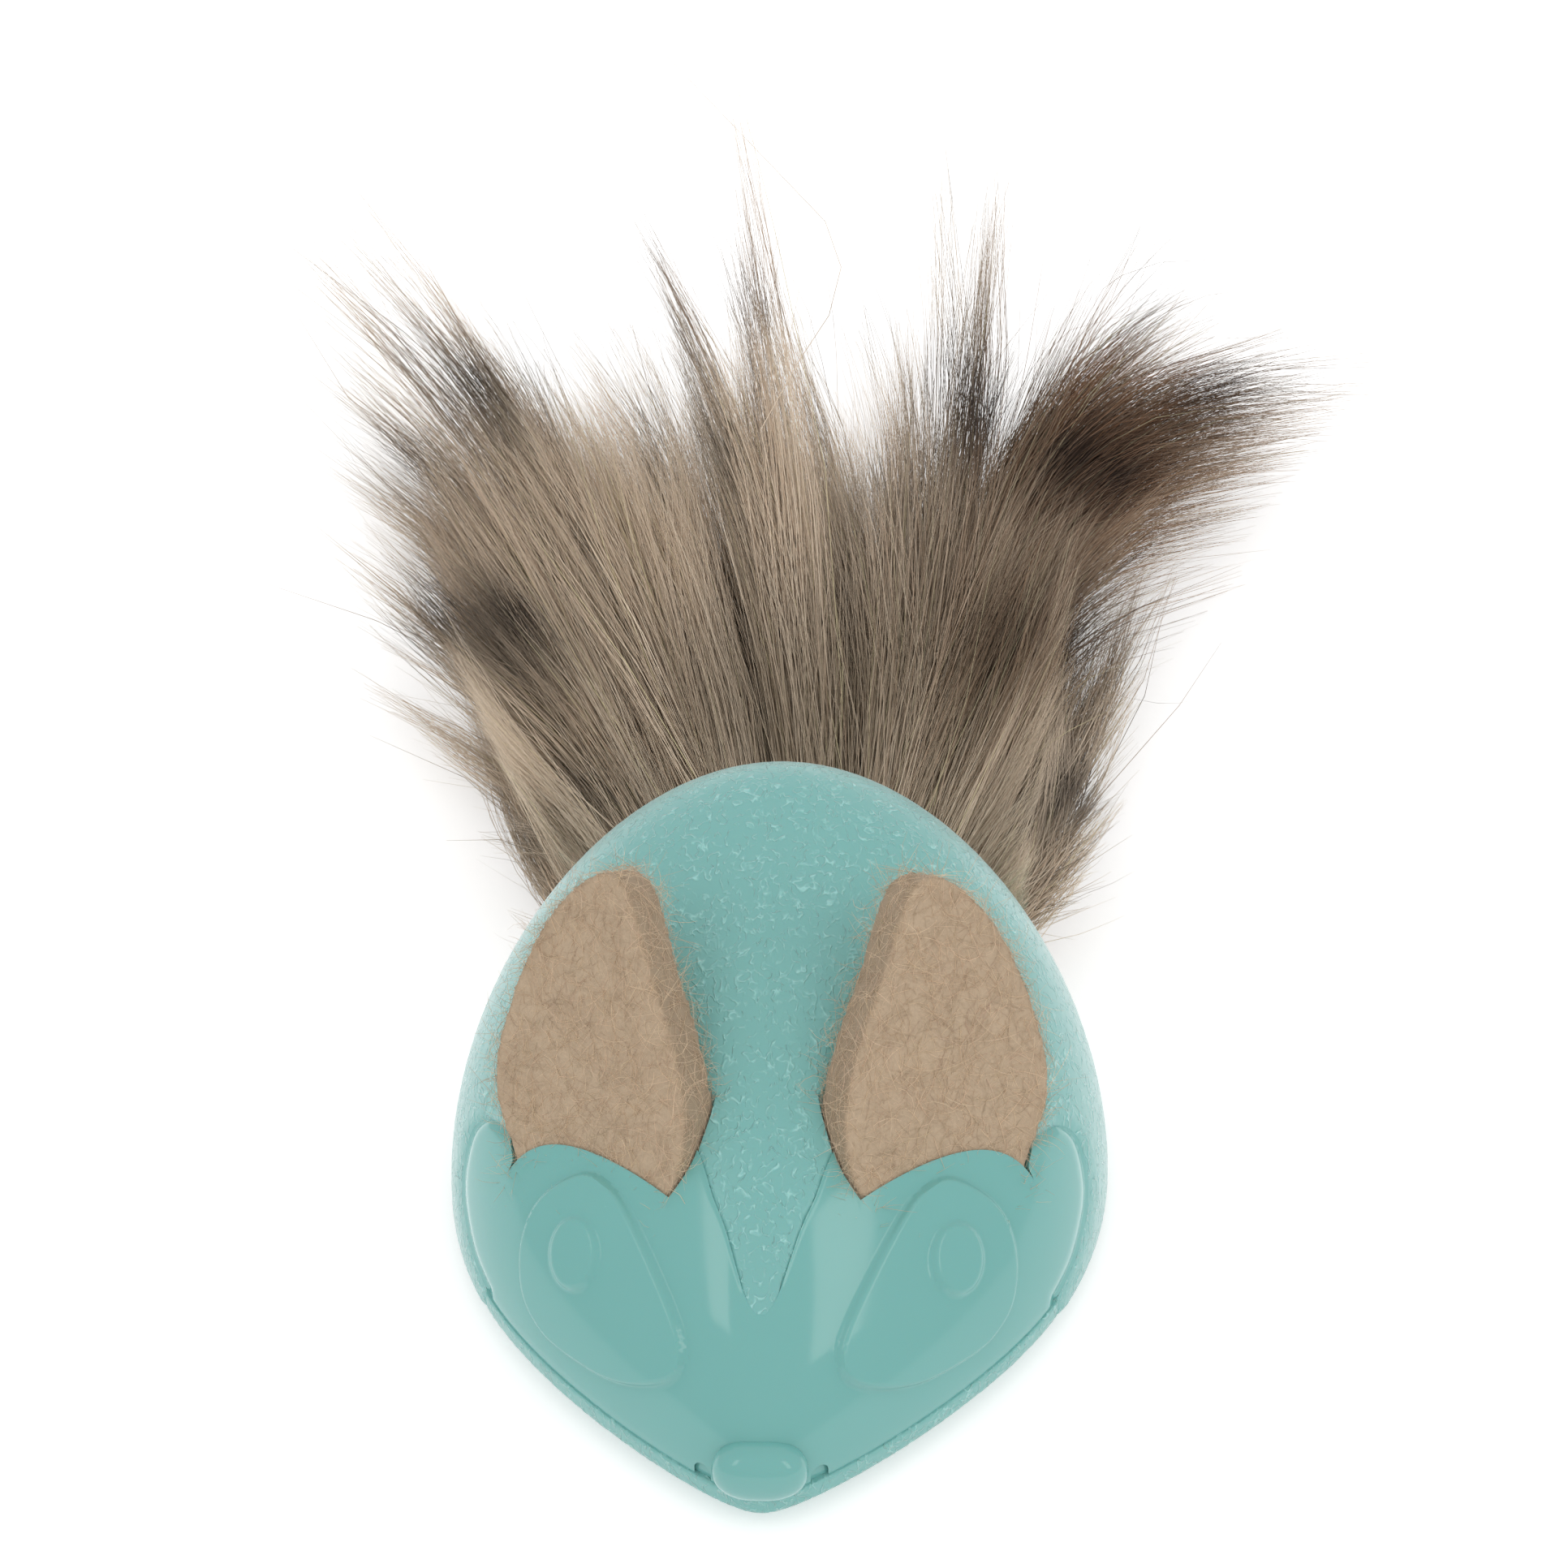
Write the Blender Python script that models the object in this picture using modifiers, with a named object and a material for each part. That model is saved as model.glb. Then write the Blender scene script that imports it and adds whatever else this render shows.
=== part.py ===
"""Rolling marble cat toy: a mouse-like plastic dome on a captive glass marble, with felt ears and a fur tail.

The plan of the body is one smooth closed curve, wide at the cheeks and pointed at the nose. Every shell, cover
and cutter is that same dome grown or shrunk by a wall or a gap. The face parts are outlined in the face plane,
which leans back from the floor by FACE_TILT, and are pushed into the dome along the plane's normal.
"""

import math

import bmesh
import bpy
from mathutils import Matrix, Vector

for old in list(bpy.data.objects):
    bpy.data.objects.remove(old, do_unlink=True)

MM = 0.001

# Body: the origin of these sizes is the point of the floor under the marble's centre, with the nose towards -Y
BODY_WIDTH = 44.4 * MM
REAR_LENGTH = 25.0 * MM
CHEEK_SETBACK = 2.0 * MM
NOSE_REACH = 29.9 * MM
NOSE_TIP_RADIUS = 2.4 * MM
LEAST_TIP_RADIUS = 0.6 * MM
CHEEK_BLEND = 1.3 * MM
APEX_SETBACK = 11.1 * MM
RIM_CLEARANCE = 1.5 * MM
FACE_FULLNESS = 1.26
REAR_FULLNESS = 0.81

# Walls and gaps
SHELL_WALL = 1.8 * MM
GAP = 0.3 * MM
MASK_THICKNESS = 1.5 * MM
RECESS_WALL = 1.3 * MM
RECESS_MARGIN = 1.4 * MM
OVERRUN = 4.0 * MM

# Marble and the cup that holds it down
MARBLE_RADIUS = 8.0 * MM
MARBLE_CLEARANCE = 0.3 * MM
CUP_WALL = 1.2 * MM
CUP_FLANGE = 1.8 * MM
ROOM_OVER_CUP = 4.3 * MM
SOCKET_WALL = 1.7 * MM
POST_RADIUS = 2.4 * MM

# Base plate and its screws
PLATE_THICKNESS = 1.3 * MM
LIP_REACH_BACK = 10.0 * MM
SCREW_PAD_RADIUS = 3.0 * MM
SCREW_PAD_RISE = 1.5 * MM
BOSS_RADIUS = 2.4 * MM
FRONT_BOSS_INSET = 8.4 * MM
SIDE_BOSS_INSET = 6.7 * MM
SIDE_BOSS_SETBACK = 1.5 * MM

# Screws
SHANK_RADIUS = 0.75 * MM
HEAD_RADIUS = 1.9 * MM
HEAD_HEIGHT = 0.9 * MM
BASE_SHANK = 7.6 * MM
HEAD_INSET = 0.15 * MM
HEAD_BEVEL = 0.2 * MM
RECESS_SPAN = 1.9 * MM
RECESS_BLADE = 0.45 * MM
RECESS_DEPTH = 0.45 * MM
ROOM_PAST_SHANK = 2.35 * MM

# Face plane and the parts drawn in it, whose heights are measured from the brow, the level of the ears' feet
FACE_TILT = math.radians(46.0)
FACE_HEIGHT = 20.0 * MM
CHIN_INSET = 3.7 * MM
MASK_SIDE_DEPTH = 9.7 * MM
FACE_FAR = 45.0 * MM
MASK_FOOT = 0.3 * MM
EYE_CENTRE_SIDE = 10.6 * MM
EYE_CENTRE_DROP = 8.25 * MM
EYE_WIDTH = 11.2 * MM
EYE_HEIGHT = 13.6 * MM
EYE_RELIEF = 0.35 * MM
PUPIL_SIDE = 12.5 * MM
PUPIL_DROP = 6.75 * MM
PUPIL_WIDTH = 3.1 * MM
PUPIL_HEIGHT = 4.5 * MM
PUPIL_RELIEF = 0.3 * MM
PAD_ROOT = 0.6 * MM
PEG_RADIUS = 1.1 * MM
PEG_INNER_END = 16.0 * MM
NOSE_WIDTH = 6.2 * MM
NOSE_HEIGHT = 4.2 * MM
NOSE_DEPTH = 3.6 * MM
NOSE_SINK = 1.0 * MM
NOSE_CENTRE_RISE = 4.85 * MM
NOTCH_WIDTH = 1.1 * MM
NOTCH_HEIGHT = 1.1 * MM
NOTCH_SIDE = 3.75 * MM

# Felt ears: each stands on the dome where its turn round the plan and its rise from the rim meet
EAR_THICKNESS = 3.4 * MM
EAR_WIDTH = 17.0 * MM
EAR_HEIGHT = 17.6 * MM
EAR_YAW = math.radians(40.3)
EAR_LEAN = math.radians(32.3)
EAR_PLACE_TURN = math.radians(-38.4)
EAR_PLACE_RISE = math.radians(37.0)
EAR_SETBACK = 0.45 * MM
EAR_FOOT_DEPTH = 2.4 * MM

# Tail: a strip of knit backing clamped on the base plate, with its fur in locks
TAIL_SPREAD = math.radians(46.0)
TAIL_SLOT_RISE = 5.3 * MM
TAIL_SLOT_SPREAD = math.radians(49.5)
BACKING_SETBACK = 3.2 * MM
BACKING_WIDTH = 4.2 * MM
BACKING_THICKNESS = 1.2 * MM
CLAMP_THICKNESS = 1.4 * MM
CLAMP_SCREW_SPREAD = math.radians(28.0)
FUR_LENGTH = 75.0 * MM
FAN_HALF_WIDTH = 41.0 * MM
FUR_LIFT = 20.0 * MM
LOCK_NECK_RADIUS = 1.05 * MM
LOCK_NECK_LENGTH = 3.4 * MM
LOCK_PARTING_LENGTH = 6.0 * MM
LOCK_TIP_RADIUS = 0.35 * MM
LOCK_GAP = 0.4 * MM
FUR_UNDERSIDE = 1.2 * MM
LAYER_HEIGHT = 4.7 * MM
LAYER_SLOPE = 0.06
FUR_TOP_HEIGHT = 6.5 * MM
FUR_TOP_SLOPE = 0.16

# Facets
AROUND = 56
RINGS = 10
BAND_STEPS = 14
ROUND_STEPS = 24
BALL_STEPS = 32
OUTLINE_STEP = 1e-4
WELD_DISTANCE = 0.01 * MM
LOCK_CHECKS = 60
LOCK_SIDES = 10

# Right half of the mask's outline, from the notch between the eyes round to the nose,
# in shares of the half width and of the face height, up from the brow
MASK_SHARES = [
    (0.012, -0.5125),
    (0.05, -0.4475),
    (0.106, -0.2525),
    (0.15, -0.1375),
    (0.2, 0.0075),
    (0.255, -0.0125),
    (0.32, -0.0325),
    (0.42, 0.0375),
    (0.49, 0.0875),
    (0.565, 0.0975),
    (0.655, 0.0775),
    (0.745, 0.0375),
    (0.79, 0.0575),
    (0.85, 0.0925),
    (0.905, 0.0525),
    (0.935, -0.0525),
    (0.94, -0.1725),
    (0.905, -0.3475),
    (0.85, -0.4725),
]
# How high the mask reaches above the brow, in shares of the face height
MASK_TOP_SHARE = 0.1

# Eye outline in shares of the eye's width and height, from its top corner clockwise as seen
EYE_SHARES = [
    (0.1, 0.49),
    (0.29, 0.42),
    (0.42, 0.3),
    (0.485, 0.12),
    (0.47, -0.08),
    (0.39, -0.22),
    (0.26, -0.33),
    (-0.02, -0.46),
    (-0.24, -0.495),
    (-0.42, -0.47),
    (-0.5, -0.39),
    (-0.49, -0.25),
    (-0.36, -0.0),
    (-0.17, 0.3),
    (-0.05, 0.43),
]

# Ear outline in shares of its width and height: the first is towards the middle of the face, the second up the ear
EAR_SHARES = [
    (-0.2, -0.28),
    (-0.26, -0.19),
    (-0.41, -0.055),
    (-0.505, 0.09),
    (-0.54, 0.285),
    (-0.545, 0.485),
    (-0.525, 0.66),
    (-0.475, 0.82),
    (-0.39, 0.95),
    (-0.295, 1.0),
    (-0.2, 0.97),
    (-0.09, 0.87),
    (0.02, 0.755),
    (0.15, 0.635),
    (0.265, 0.52),
    (0.36, 0.4),
    (0.425, 0.27),
    (0.46, 0.14),
    (0.445, -0.06),
    (0.4, -0.28),
]

# Fur locks from the left side round to the right, in turn of the lower and of the upper layer: the tip's place across
# the fan, its reach behind the body, its lift, and how far the lock bows outwards, all as shares of the fan's half
# width, the fur's length and its lift
LOCK_SHARES = [
    (-0.54, 0.12, 0.1, -0.08),
    (-0.71, 0.24, 0.33, -0.04),
    (-0.84, 0.45, 0.1, 0.0),
    (-0.89, 0.53, 0.48, -0.06),
    (-0.98, 0.94, 0.15, -0.06),
    (-0.63, 0.76, 0.6, -0.04),
    (-0.34, 0.96, 0.2, 0.0),
    (-0.16, 0.85, 0.65, 0.0),
    (0.16, 0.87, 0.2, 0.0),
    (0.55, 0.78, 0.6, -0.1),
    (0.93, 0.73, 0.28, -0.24),
    (0.74, 0.5, 0.5, -0.16),
    (0.64, 0.35, 0.15, -0.1),
    (0.56, 0.11, 0.3, -0.06),
]
# Rings along the free part of a lock: how far along it lies, and how much of the room in its layer the lock fills
LOCK_STEP_SHARES = [(0.07, 1.0), (0.3, 1.0), (0.55, 1.0), (0.75, 0.74), (0.9, 0.36), (1.0, 0.0)]

HALF_WIDTH = BODY_WIDTH / 2
SOCKET_RADIUS = MARBLE_RADIUS + MARBLE_CLEARANCE
BODY_HEIGHT = MARBLE_RADIUS + SOCKET_RADIUS + CUP_WALL + ROOM_OVER_CUP + SHELL_WALL
CHIN_HALF_WIDTH = HALF_WIDTH - CHIN_INSET
NOSE_CENTRE_REACH = NOSE_REACH + NOSE_TIP_RADIUS - NOSE_SINK
PLATE_TOP = RIM_CLEARANCE + PLATE_THICKNESS
MASK_BOTTOM = PLATE_TOP + MASK_FOOT
SOCKET_TOP = MARBLE_RADIUS - GAP
RECESS_DROP = MASK_THICKNESS + GAP
RECESS_BACK = MASK_SIDE_DEPTH - GAP - RECESS_MARGIN
SCREW_PAD_TOP = PLATE_TOP + SCREW_PAD_RISE
HOLE_RADIUS = SHANK_RADIUS + GAP
BOSS_HOLE_TOP = RIM_CLEARANCE + HEAD_INSET + HEAD_HEIGHT + BASE_SHANK + ROOM_PAST_SHANK
BACKING_FLOOR = PLATE_TOP + GAP
CLAMP_FLOOR = BACKING_FLOOR + BACKING_THICKNESS + GAP
CLAMP_TOP = CLAMP_FLOOR + CLAMP_THICKNESS
TAIL_SLOT_TOP = RIM_CLEARANCE + TAIL_SLOT_RISE
STRIP_REACH = REAR_LENGTH - CHEEK_SETBACK - BACKING_SETBACK
FACE_RIGHT = Vector((1, 0, 0))
FACE_UP = Vector((0, math.sin(FACE_TILT), math.cos(FACE_TILT)))
FACE_OUT = Vector((0, -math.cos(FACE_TILT), math.sin(FACE_TILT)))

parts = bpy.data.collections.new("rolling_marble_cat_toy")
cutters = bpy.data.collections.new("cutters")
bpy.context.scene.collection.children.link(parts)
bpy.context.scene.collection.children.link(cutters)

toy = bpy.data.objects.new("toy", None)
parts.objects.link(toy)


def make_material(name, colour, roughness, metallic=0.0):
    """A Principled material with one colour."""
    made = bpy.data.materials.new(name)
    made.use_nodes = True
    shader = made.node_tree.nodes["Principled BSDF"]
    shader.inputs["Base Color"].default_value = (*colour, 1.0)
    shader.inputs["Roughness"].default_value = roughness
    shader.inputs["Metallic"].default_value = metallic
    return made


TEAL_TEXTURED = make_material("textured_teal_plastic", (0.21, 0.47, 0.44), 0.45)
TEAL_POLISHED = make_material("polished_teal_plastic", (0.19, 0.46, 0.43), 0.15)
TEAL_MATTE = make_material("matte_teal_plastic", (0.2, 0.45, 0.42), 0.55)
WHITE_PLASTIC = make_material("white_plastic", (0.8, 0.8, 0.78), 0.4)
FELT = make_material("felt", (0.42, 0.32, 0.22), 0.95)
KNIT = make_material("knit_backing", (0.3, 0.26, 0.21), 0.9)
FUR = make_material("fur", (0.23, 0.18, 0.14), 0.8)
GLASS = make_material("marble_glass", (0.1, 0.3, 0.28), 0.05)
STEEL = make_material("screw_steel", (0.6, 0.6, 0.62), 0.3, 1.0)


def add_part(name, data, material):
    """A visible piece of the toy, shaded smooth, carried by the toy's empty."""
    piece = bpy.data.objects.new(name, data)
    parts.objects.link(piece)
    piece.parent = toy
    data.materials.append(material)
    if piece.type == "MESH":
        data.shade_smooth()
        data.set_sharp_from_angle(angle=math.radians(35.0))
    return piece


def add_cutter(name, mesh):
    """A helper solid, kept out of the model."""
    cutter = bpy.data.objects.new(name, mesh)
    cutters.objects.link(cutter)
    cutter.parent = toy
    cutter.hide_render = True
    cutter.display_type = "WIRE"
    return cutter


def join(piece, *others):
    """Add the other solids to the piece."""
    for other in others:
        step = piece.modifiers.new("join_" + other.name, "BOOLEAN")
        step.operation = "UNION"
        step.object = other


def cut(piece, *others):
    """Take the other solids out of the piece."""
    for other in others:
        step = piece.modifiers.new("cut_" + other.name, "BOOLEAN")
        step.operation = "DIFFERENCE"
        step.object = other


def keep_inside(piece, other):
    """Keep only what lies inside the other solid."""
    step = piece.modifiers.new("inside_" + other.name, "BOOLEAN")
    step.operation = "INTERSECT"
    step.object = other


def mesh_from(name, bm):
    """Turn a bmesh into a mesh with its faces pointing out."""
    bmesh.ops.recalc_face_normals(bm, faces=bm.faces)
    mesh = bpy.data.meshes.new(name)
    bm.to_mesh(mesh)
    bm.free()
    return mesh


def support(angle, grow):
    """How far the plan outline, grown outwards, reaches along the outward normal at this angle."""
    across, along = math.cos(angle), math.sin(angle)
    tip_radius = max(NOSE_TIP_RADIUS + grow, LEAST_TIP_RADIUS)
    tip_reach = NOSE_REACH + NOSE_TIP_RADIUS + grow - tip_radius
    body = math.hypot(HALF_WIDTH * across, REAR_LENGTH * along) - CHEEK_SETBACK * along + grow
    nose = tip_radius - tip_reach * along
    most = max(body, nose)
    spread = math.exp((body - most) / CHEEK_BLEND) + math.exp((nose - most) / CHEEK_BLEND)
    return most + CHEEK_BLEND * math.log(spread)


def outline_point(angle, grow=0.0):
    """The point of the plan outline, grown outwards, whose normal has this angle."""
    reach = support(angle, grow)
    slope = (support(angle + OUTLINE_STEP, grow) - support(angle - OUTLINE_STEP, grow)) / (2 * OUTLINE_STEP)
    across, along = math.cos(angle), math.sin(angle)
    return Vector((reach * across - slope * along, reach * along + slope * across))


def dome_point(angle, rise, grow=0.0):
    """A point of the dome: angle goes round the plan, and rise from the rim at zero to the top at a right angle."""
    towards_nose = (1 - math.sin(angle)) / 2
    fullness = REAR_FULLNESS + (FACE_FULLNESS - REAR_FULLNESS) * towards_nose**2
    share = max(math.cos(rise), 0.0) ** fullness
    edge = outline_point(angle, grow)
    height = RIM_CLEARANCE + (BODY_HEIGHT + grow - RIM_CLEARANCE) * math.sin(rise)
    return Vector((edge.x * share, edge.y * share + APEX_SETBACK * (1 - share), height))


def ear_place(side):
    """The foot of an ear, on the dome."""
    place = dome_point(EAR_PLACE_TURN, EAR_PLACE_RISE)
    return Vector((side * place.x, place.y, place.z))


def dome_mesh(name, grow=0.0, skirt=0.0):
    """The dome as one closed solid, from a sphere, with its rim carried down by the skirt."""
    bm = bmesh.new()
    bmesh.ops.create_uvsphere(bm, u_segments=AROUND, v_segments=2 * RINGS, radius=1)
    below = [v for v in bm.verts if v.co.z < -math.sin(math.pi / (4 * RINGS))]
    bmesh.ops.delete(bm, geom=below, context="VERTS")
    rim = [e for e in bm.edges if e.is_boundary]
    rim_verts = {v for e in rim for v in e.verts}
    for vert in bm.verts:
        rise = math.asin(max(-1.0, min(1.0, vert.co.z)))
        if vert in rim_verts:
            rise = 0.0
        vert.co = dome_point(math.atan2(vert.co.y, vert.co.x), rise, grow)
    if skirt:
        lower = bmesh.ops.extrude_edge_only(bm, edges=rim)["geom"]
        moved = [g for g in lower if isinstance(g, bmesh.types.BMVert)]
        bmesh.ops.translate(bm, verts=moved, vec=(0, 0, -skirt))
    bmesh.ops.holes_fill(bm, edges=[e for e in bm.edges if e.is_boundary])
    bmesh.ops.triangulate(bm, faces=bm.faces)
    return mesh_from(name, bm)


def prism_mesh(name, corners, direction):
    """A closed outline of 3D corners swept along a direction."""
    bm = bmesh.new()
    face = bm.faces.new([bm.verts.new(corner) for corner in corners])
    swept = bmesh.ops.extrude_face_region(bm, geom=[face])["geom"]
    bmesh.ops.translate(bm, verts=[g for g in swept if isinstance(g, bmesh.types.BMVert)], vec=direction)
    return mesh_from(name, bm)


def plan_prism(name, points, floor, top):
    """A plan outline raised from one height to another."""
    return prism_mesh(name, [Vector((p[0], p[1], floor)) for p in points], Vector((0, 0, top - floor)))


def face_prism(name, points, near):
    """An outline in the face plane, swept outwards from a depth to beyond the face."""
    brow = FACE_UP.dot(ear_place(1))
    corners = [FACE_RIGHT * p[0] + FACE_UP * (brow + p[1]) + FACE_OUT * near for p in points]
    return prism_mesh(name, corners, FACE_OUT * (FACE_FAR - near))


def cylinder_mesh(name, radius, height, bevel=0.0):
    """An upright cylinder from its floor at zero, with its upper edge rounded on request."""
    bm = bmesh.new()
    bmesh.ops.create_cone(
        bm, cap_ends=True, segments=ROUND_STEPS, radius1=radius, radius2=radius, depth=height,
        matrix=Matrix.Translation((0, 0, height / 2)),
    )
    if bevel:
        top = [e for e in bm.edges if all(v.co.z > height / 2 for v in e.verts)]
        bmesh.ops.bevel(bm, geom=top, offset=bevel, segments=2, profile=0.5, affect="EDGES")
    return mesh_from(name, bm)


def sphere_mesh(name, size, segments=ROUND_STEPS):
    """A ball or an egg with these three diameters."""
    bm = bmesh.new()
    bmesh.ops.create_uvsphere(bm, u_segments=segments, v_segments=segments // 2, radius=0.5)
    bmesh.ops.scale(bm, verts=bm.verts, vec=size)
    return mesh_from(name, bm)


def grown_outline(points, grow):
    """A closed outline with each corner moved outwards along its normal."""
    grown = []
    for i, here in enumerate(points):
        before, after = points[i - 1], points[(i + 1) % len(points)]
        along = Vector((after[0] - before[0], after[1] - before[1])).normalized()
        grown.append((here[0] + along.y * grow, here[1] - along.x * grow))
    return grown


def smooth_outline(points, closed=False):
    """The outline with a point added in the middle of each stretch, on the smooth curve through its points."""
    count = len(points)
    smooth = []
    for i in range(count if closed else count - 1):
        if closed:
            before, here, after, beyond = (points[(i + n) % count] for n in (-1, 0, 1, 2))
        else:
            before, here, after, beyond = (points[min(max(i + n, 0), count - 1)] for n in (-1, 0, 1, 2))
        smooth.append(here)
        smooth.append(tuple((9 * (here[n] + after[n]) - before[n] - beyond[n]) / 16 for n in (0, 1)))
    return smooth if closed else smooth + [points[-1]]


def mirrored(half):
    """A closed outline from its right half."""
    return [(-x, y) for x, y in half[::-1]] + list(half)


def mask_outline(grow=0.0):
    """The mask in the face plane, grown at its upper and side edges and carried down past its lower edge."""
    half = smooth_outline([(a * HALF_WIDTH, b * FACE_HEIGHT) for a, b in MASK_SHARES])
    half.append((CHIN_HALF_WIDTH, -2 * FACE_HEIGHT))
    return grown_outline(mirrored(half)[::-1], grow)


def eye_outline(side):
    """One eye in the face plane."""
    points = [
        (side * (EYE_CENTRE_SIDE + a * EYE_WIDTH), b * EYE_HEIGHT - EYE_CENTRE_DROP)
        for a, b in EYE_SHARES
    ]
    return smooth_outline(points, closed=True)


def pupil_outline(side):
    """One pupil in the face plane, an ellipse."""
    turns = [2 * math.pi * i / ROUND_STEPS for i in range(ROUND_STEPS)]
    return [
        (side * PUPIL_SIDE + PUPIL_WIDTH / 2 * math.cos(t), PUPIL_HEIGHT / 2 * math.sin(t) - PUPIL_DROP)
        for t in turns
    ]


def ear_matrix(side):
    """The ear's frame: X towards the middle of the face, Y up the ear, Z out of its front."""
    out = Vector((
        side * math.sin(EAR_YAW) * math.cos(EAR_LEAN),
        -math.cos(EAR_YAW) * math.cos(EAR_LEAN),
        math.sin(EAR_LEAN),
    ))
    inward = Vector((-side * math.cos(EAR_YAW), -math.sin(EAR_YAW), 0))
    up = out.cross(inward) * -side
    place = Matrix((inward, up, out)).transposed().to_4x4()
    place.translation = ear_place(side) - out * EAR_SETBACK
    return place


def ear_mesh(name, side, grow=0.0):
    """One flat felt ear, cut along a smooth outline, with its front face in the ear frame's XY plane."""
    outline = bpy.data.curves.new(name + "_outline", "CURVE")
    outline.dimensions = "2D"
    outline.fill_mode = "BOTH"
    outline.extrude = EAR_THICKNESS / 2 + grow
    outline.resolution_u = 3
    spline = outline.splines.new("BEZIER")
    points = [(a * EAR_WIDTH, b * EAR_HEIGHT) for a, b in EAR_SHARES]
    points = grown_outline(points, -grow)
    spline.bezier_points.add(len(points) - 1)
    for knot, (x, y) in zip(spline.bezier_points, points):
        knot.co = (x, y, 0)
        knot.handle_left_type = knot.handle_right_type = "AUTO"
    spline.use_cyclic_u = True
    flat = bpy.data.objects.new(name + "_outline", outline)
    cutters.objects.link(flat)
    bpy.context.view_layer.update()
    mesh = bpy.data.meshes.new_from_object(flat.evaluated_get(bpy.context.evaluated_depsgraph_get()))
    bpy.data.objects.remove(flat)
    bm = bmesh.new()
    bm.from_mesh(mesh)
    bpy.data.meshes.remove(mesh)
    bmesh.ops.remove_doubles(bm, verts=bm.verts, dist=WELD_DISTANCE)
    bmesh.ops.translate(bm, verts=bm.verts, vec=(0, 0, -EAR_THICKNESS / 2))
    bmesh.ops.transform(bm, verts=bm.verts, matrix=ear_matrix(side))
    return mesh_from(name, bm)


def tail_band(name, out_setback, width, floor, top):
    """A strip that follows the inside of the rear wall across the tail's spread."""
    turns = [math.pi / 2 + TAIL_SPREAD * (2 * i / BAND_STEPS - 1) for i in range(BAND_STEPS + 1)]
    outer = [outline_point(t, -out_setback) for t in turns]
    inner = [outline_point(t, -out_setback - width) for t in reversed(turns)]
    return plan_prism(name, outer + inner, floor, top)


def add_cylinder_cutter(name, radius, place, floor, top):
    """An upright cylinder cutter at a place of the plan."""
    made = add_cutter(name, cylinder_mesh(name, radius, top - floor))
    made.location = (place[0], place[1], floor)
    return made


def add_screw(name, place, floor, shank, upside_down):
    """A pan-head screw with a cross recess; floor is the height of the head's outer face."""
    screw = add_part(name, cylinder_mesh(name, HEAD_RADIUS, HEAD_HEIGHT, HEAD_BEVEL), STEEL)
    stem = add_cutter(name + "_shank", cylinder_mesh(name + "_shank", SHANK_RADIUS, shank + HEAD_HEIGHT / 2))
    stem.location = (0, 0, -shank)
    join(screw, stem)
    stem.parent = screw
    for turn in (0.0, math.pi / 2):
        bm = bmesh.new()
        bmesh.ops.create_cube(bm, size=1)
        bmesh.ops.scale(bm, verts=bm.verts, vec=(RECESS_SPAN, RECESS_BLADE, 2 * RECESS_DEPTH))
        blade = add_cutter(f"{name}_recess_{int(turn > 0)}", mesh_from(name, bm))
        blade.parent = screw
        blade.location = (0, 0, HEAD_HEIGHT)
        blade.rotation_euler = (0, 0, turn)
        cut(screw, blade)
    screw.rotation_euler = (math.pi if upside_down else 0, 0, 0)
    screw.location = (place[0], place[1], floor + HEAD_HEIGHT if upside_down else floor - HEAD_HEIGHT)
    return screw


def lock_line(number):
    """A fur lock's middle line, from the strip of backing to its tip, as a function of the share of its way."""
    across, reach, lift, bow = LOCK_SHARES[number]
    root_turn = math.pi / 2 + TAIL_SPREAD * (1 - 2 * (number + 0.5) / len(LOCK_SHARES))
    start = outline_point(root_turn, GAP - BACKING_SETBACK)
    rear = REAR_LENGTH - CHEEK_SETBACK
    root = Vector((start.x, start.y, BACKING_FLOOR + LOCK_NECK_RADIUS))
    tip = Vector((across * FAN_HALF_WIDTH, rear + reach * FUR_LENGTH, RIM_CLEARANCE + lift * FUR_LIFT))
    span = (tip - root).length
    out = Vector((math.cos(root_turn), math.sin(root_turn), 0))
    aside = Vector((out.y, -out.x, 0)) * (1 if across > 0 else -1)
    bend = root + out * span / 2 + aside * bow * span + Vector((0, 0, (tip.z - root.z) / 2))
    return lambda s: root * (1 - s) ** 2 + bend * 2 * s * (1 - s) + tip * s**2


def layer_limits(number, place):
    """How low and how high a lock's layer of fur lies at a place, which rise with the distance from the rump."""
    away = max(place.xy.length - STRIP_REACH, 0)
    parting = LAYER_HEIGHT + LAYER_SLOPE * away
    if number % 2:
        return parting + LOCK_GAP / 2, FUR_TOP_HEIGHT + FUR_TOP_SLOPE * away
    return FUR_UNDERSIDE, parting - LOCK_GAP / 2


def lock_room(number, here, lines, step):
    """How far a lock can reach to its left and right at a point of its line, half way to the locks a step away."""
    room = []
    for other in (number - step, number + step):
        if 0 <= other < len(lines):
            near = min((here - lines[other](i / LOCK_CHECKS)).xy.length for i in range(LOCK_CHECKS + 1))
            room.append((near - LOCK_GAP) / 2)
    return room * 2 if len(room) == 1 else room


def tuft_heights(number, place, fullness, tip_height):
    """Underside and top of a lock at a place: its whole layer where it is full, and its tip's height at the tip."""
    low, high = layer_limits(number, place)
    end = min(max(tip_height, low + LOCK_TIP_RADIUS), high - LOCK_TIP_RADIUS)
    return (
        end - LOCK_TIP_RADIUS + (low - end + LOCK_TIP_RADIUS) * fullness,
        end + LOCK_TIP_RADIUS + (high - end - LOCK_TIP_RADIUS) * fullness,
    )


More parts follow.
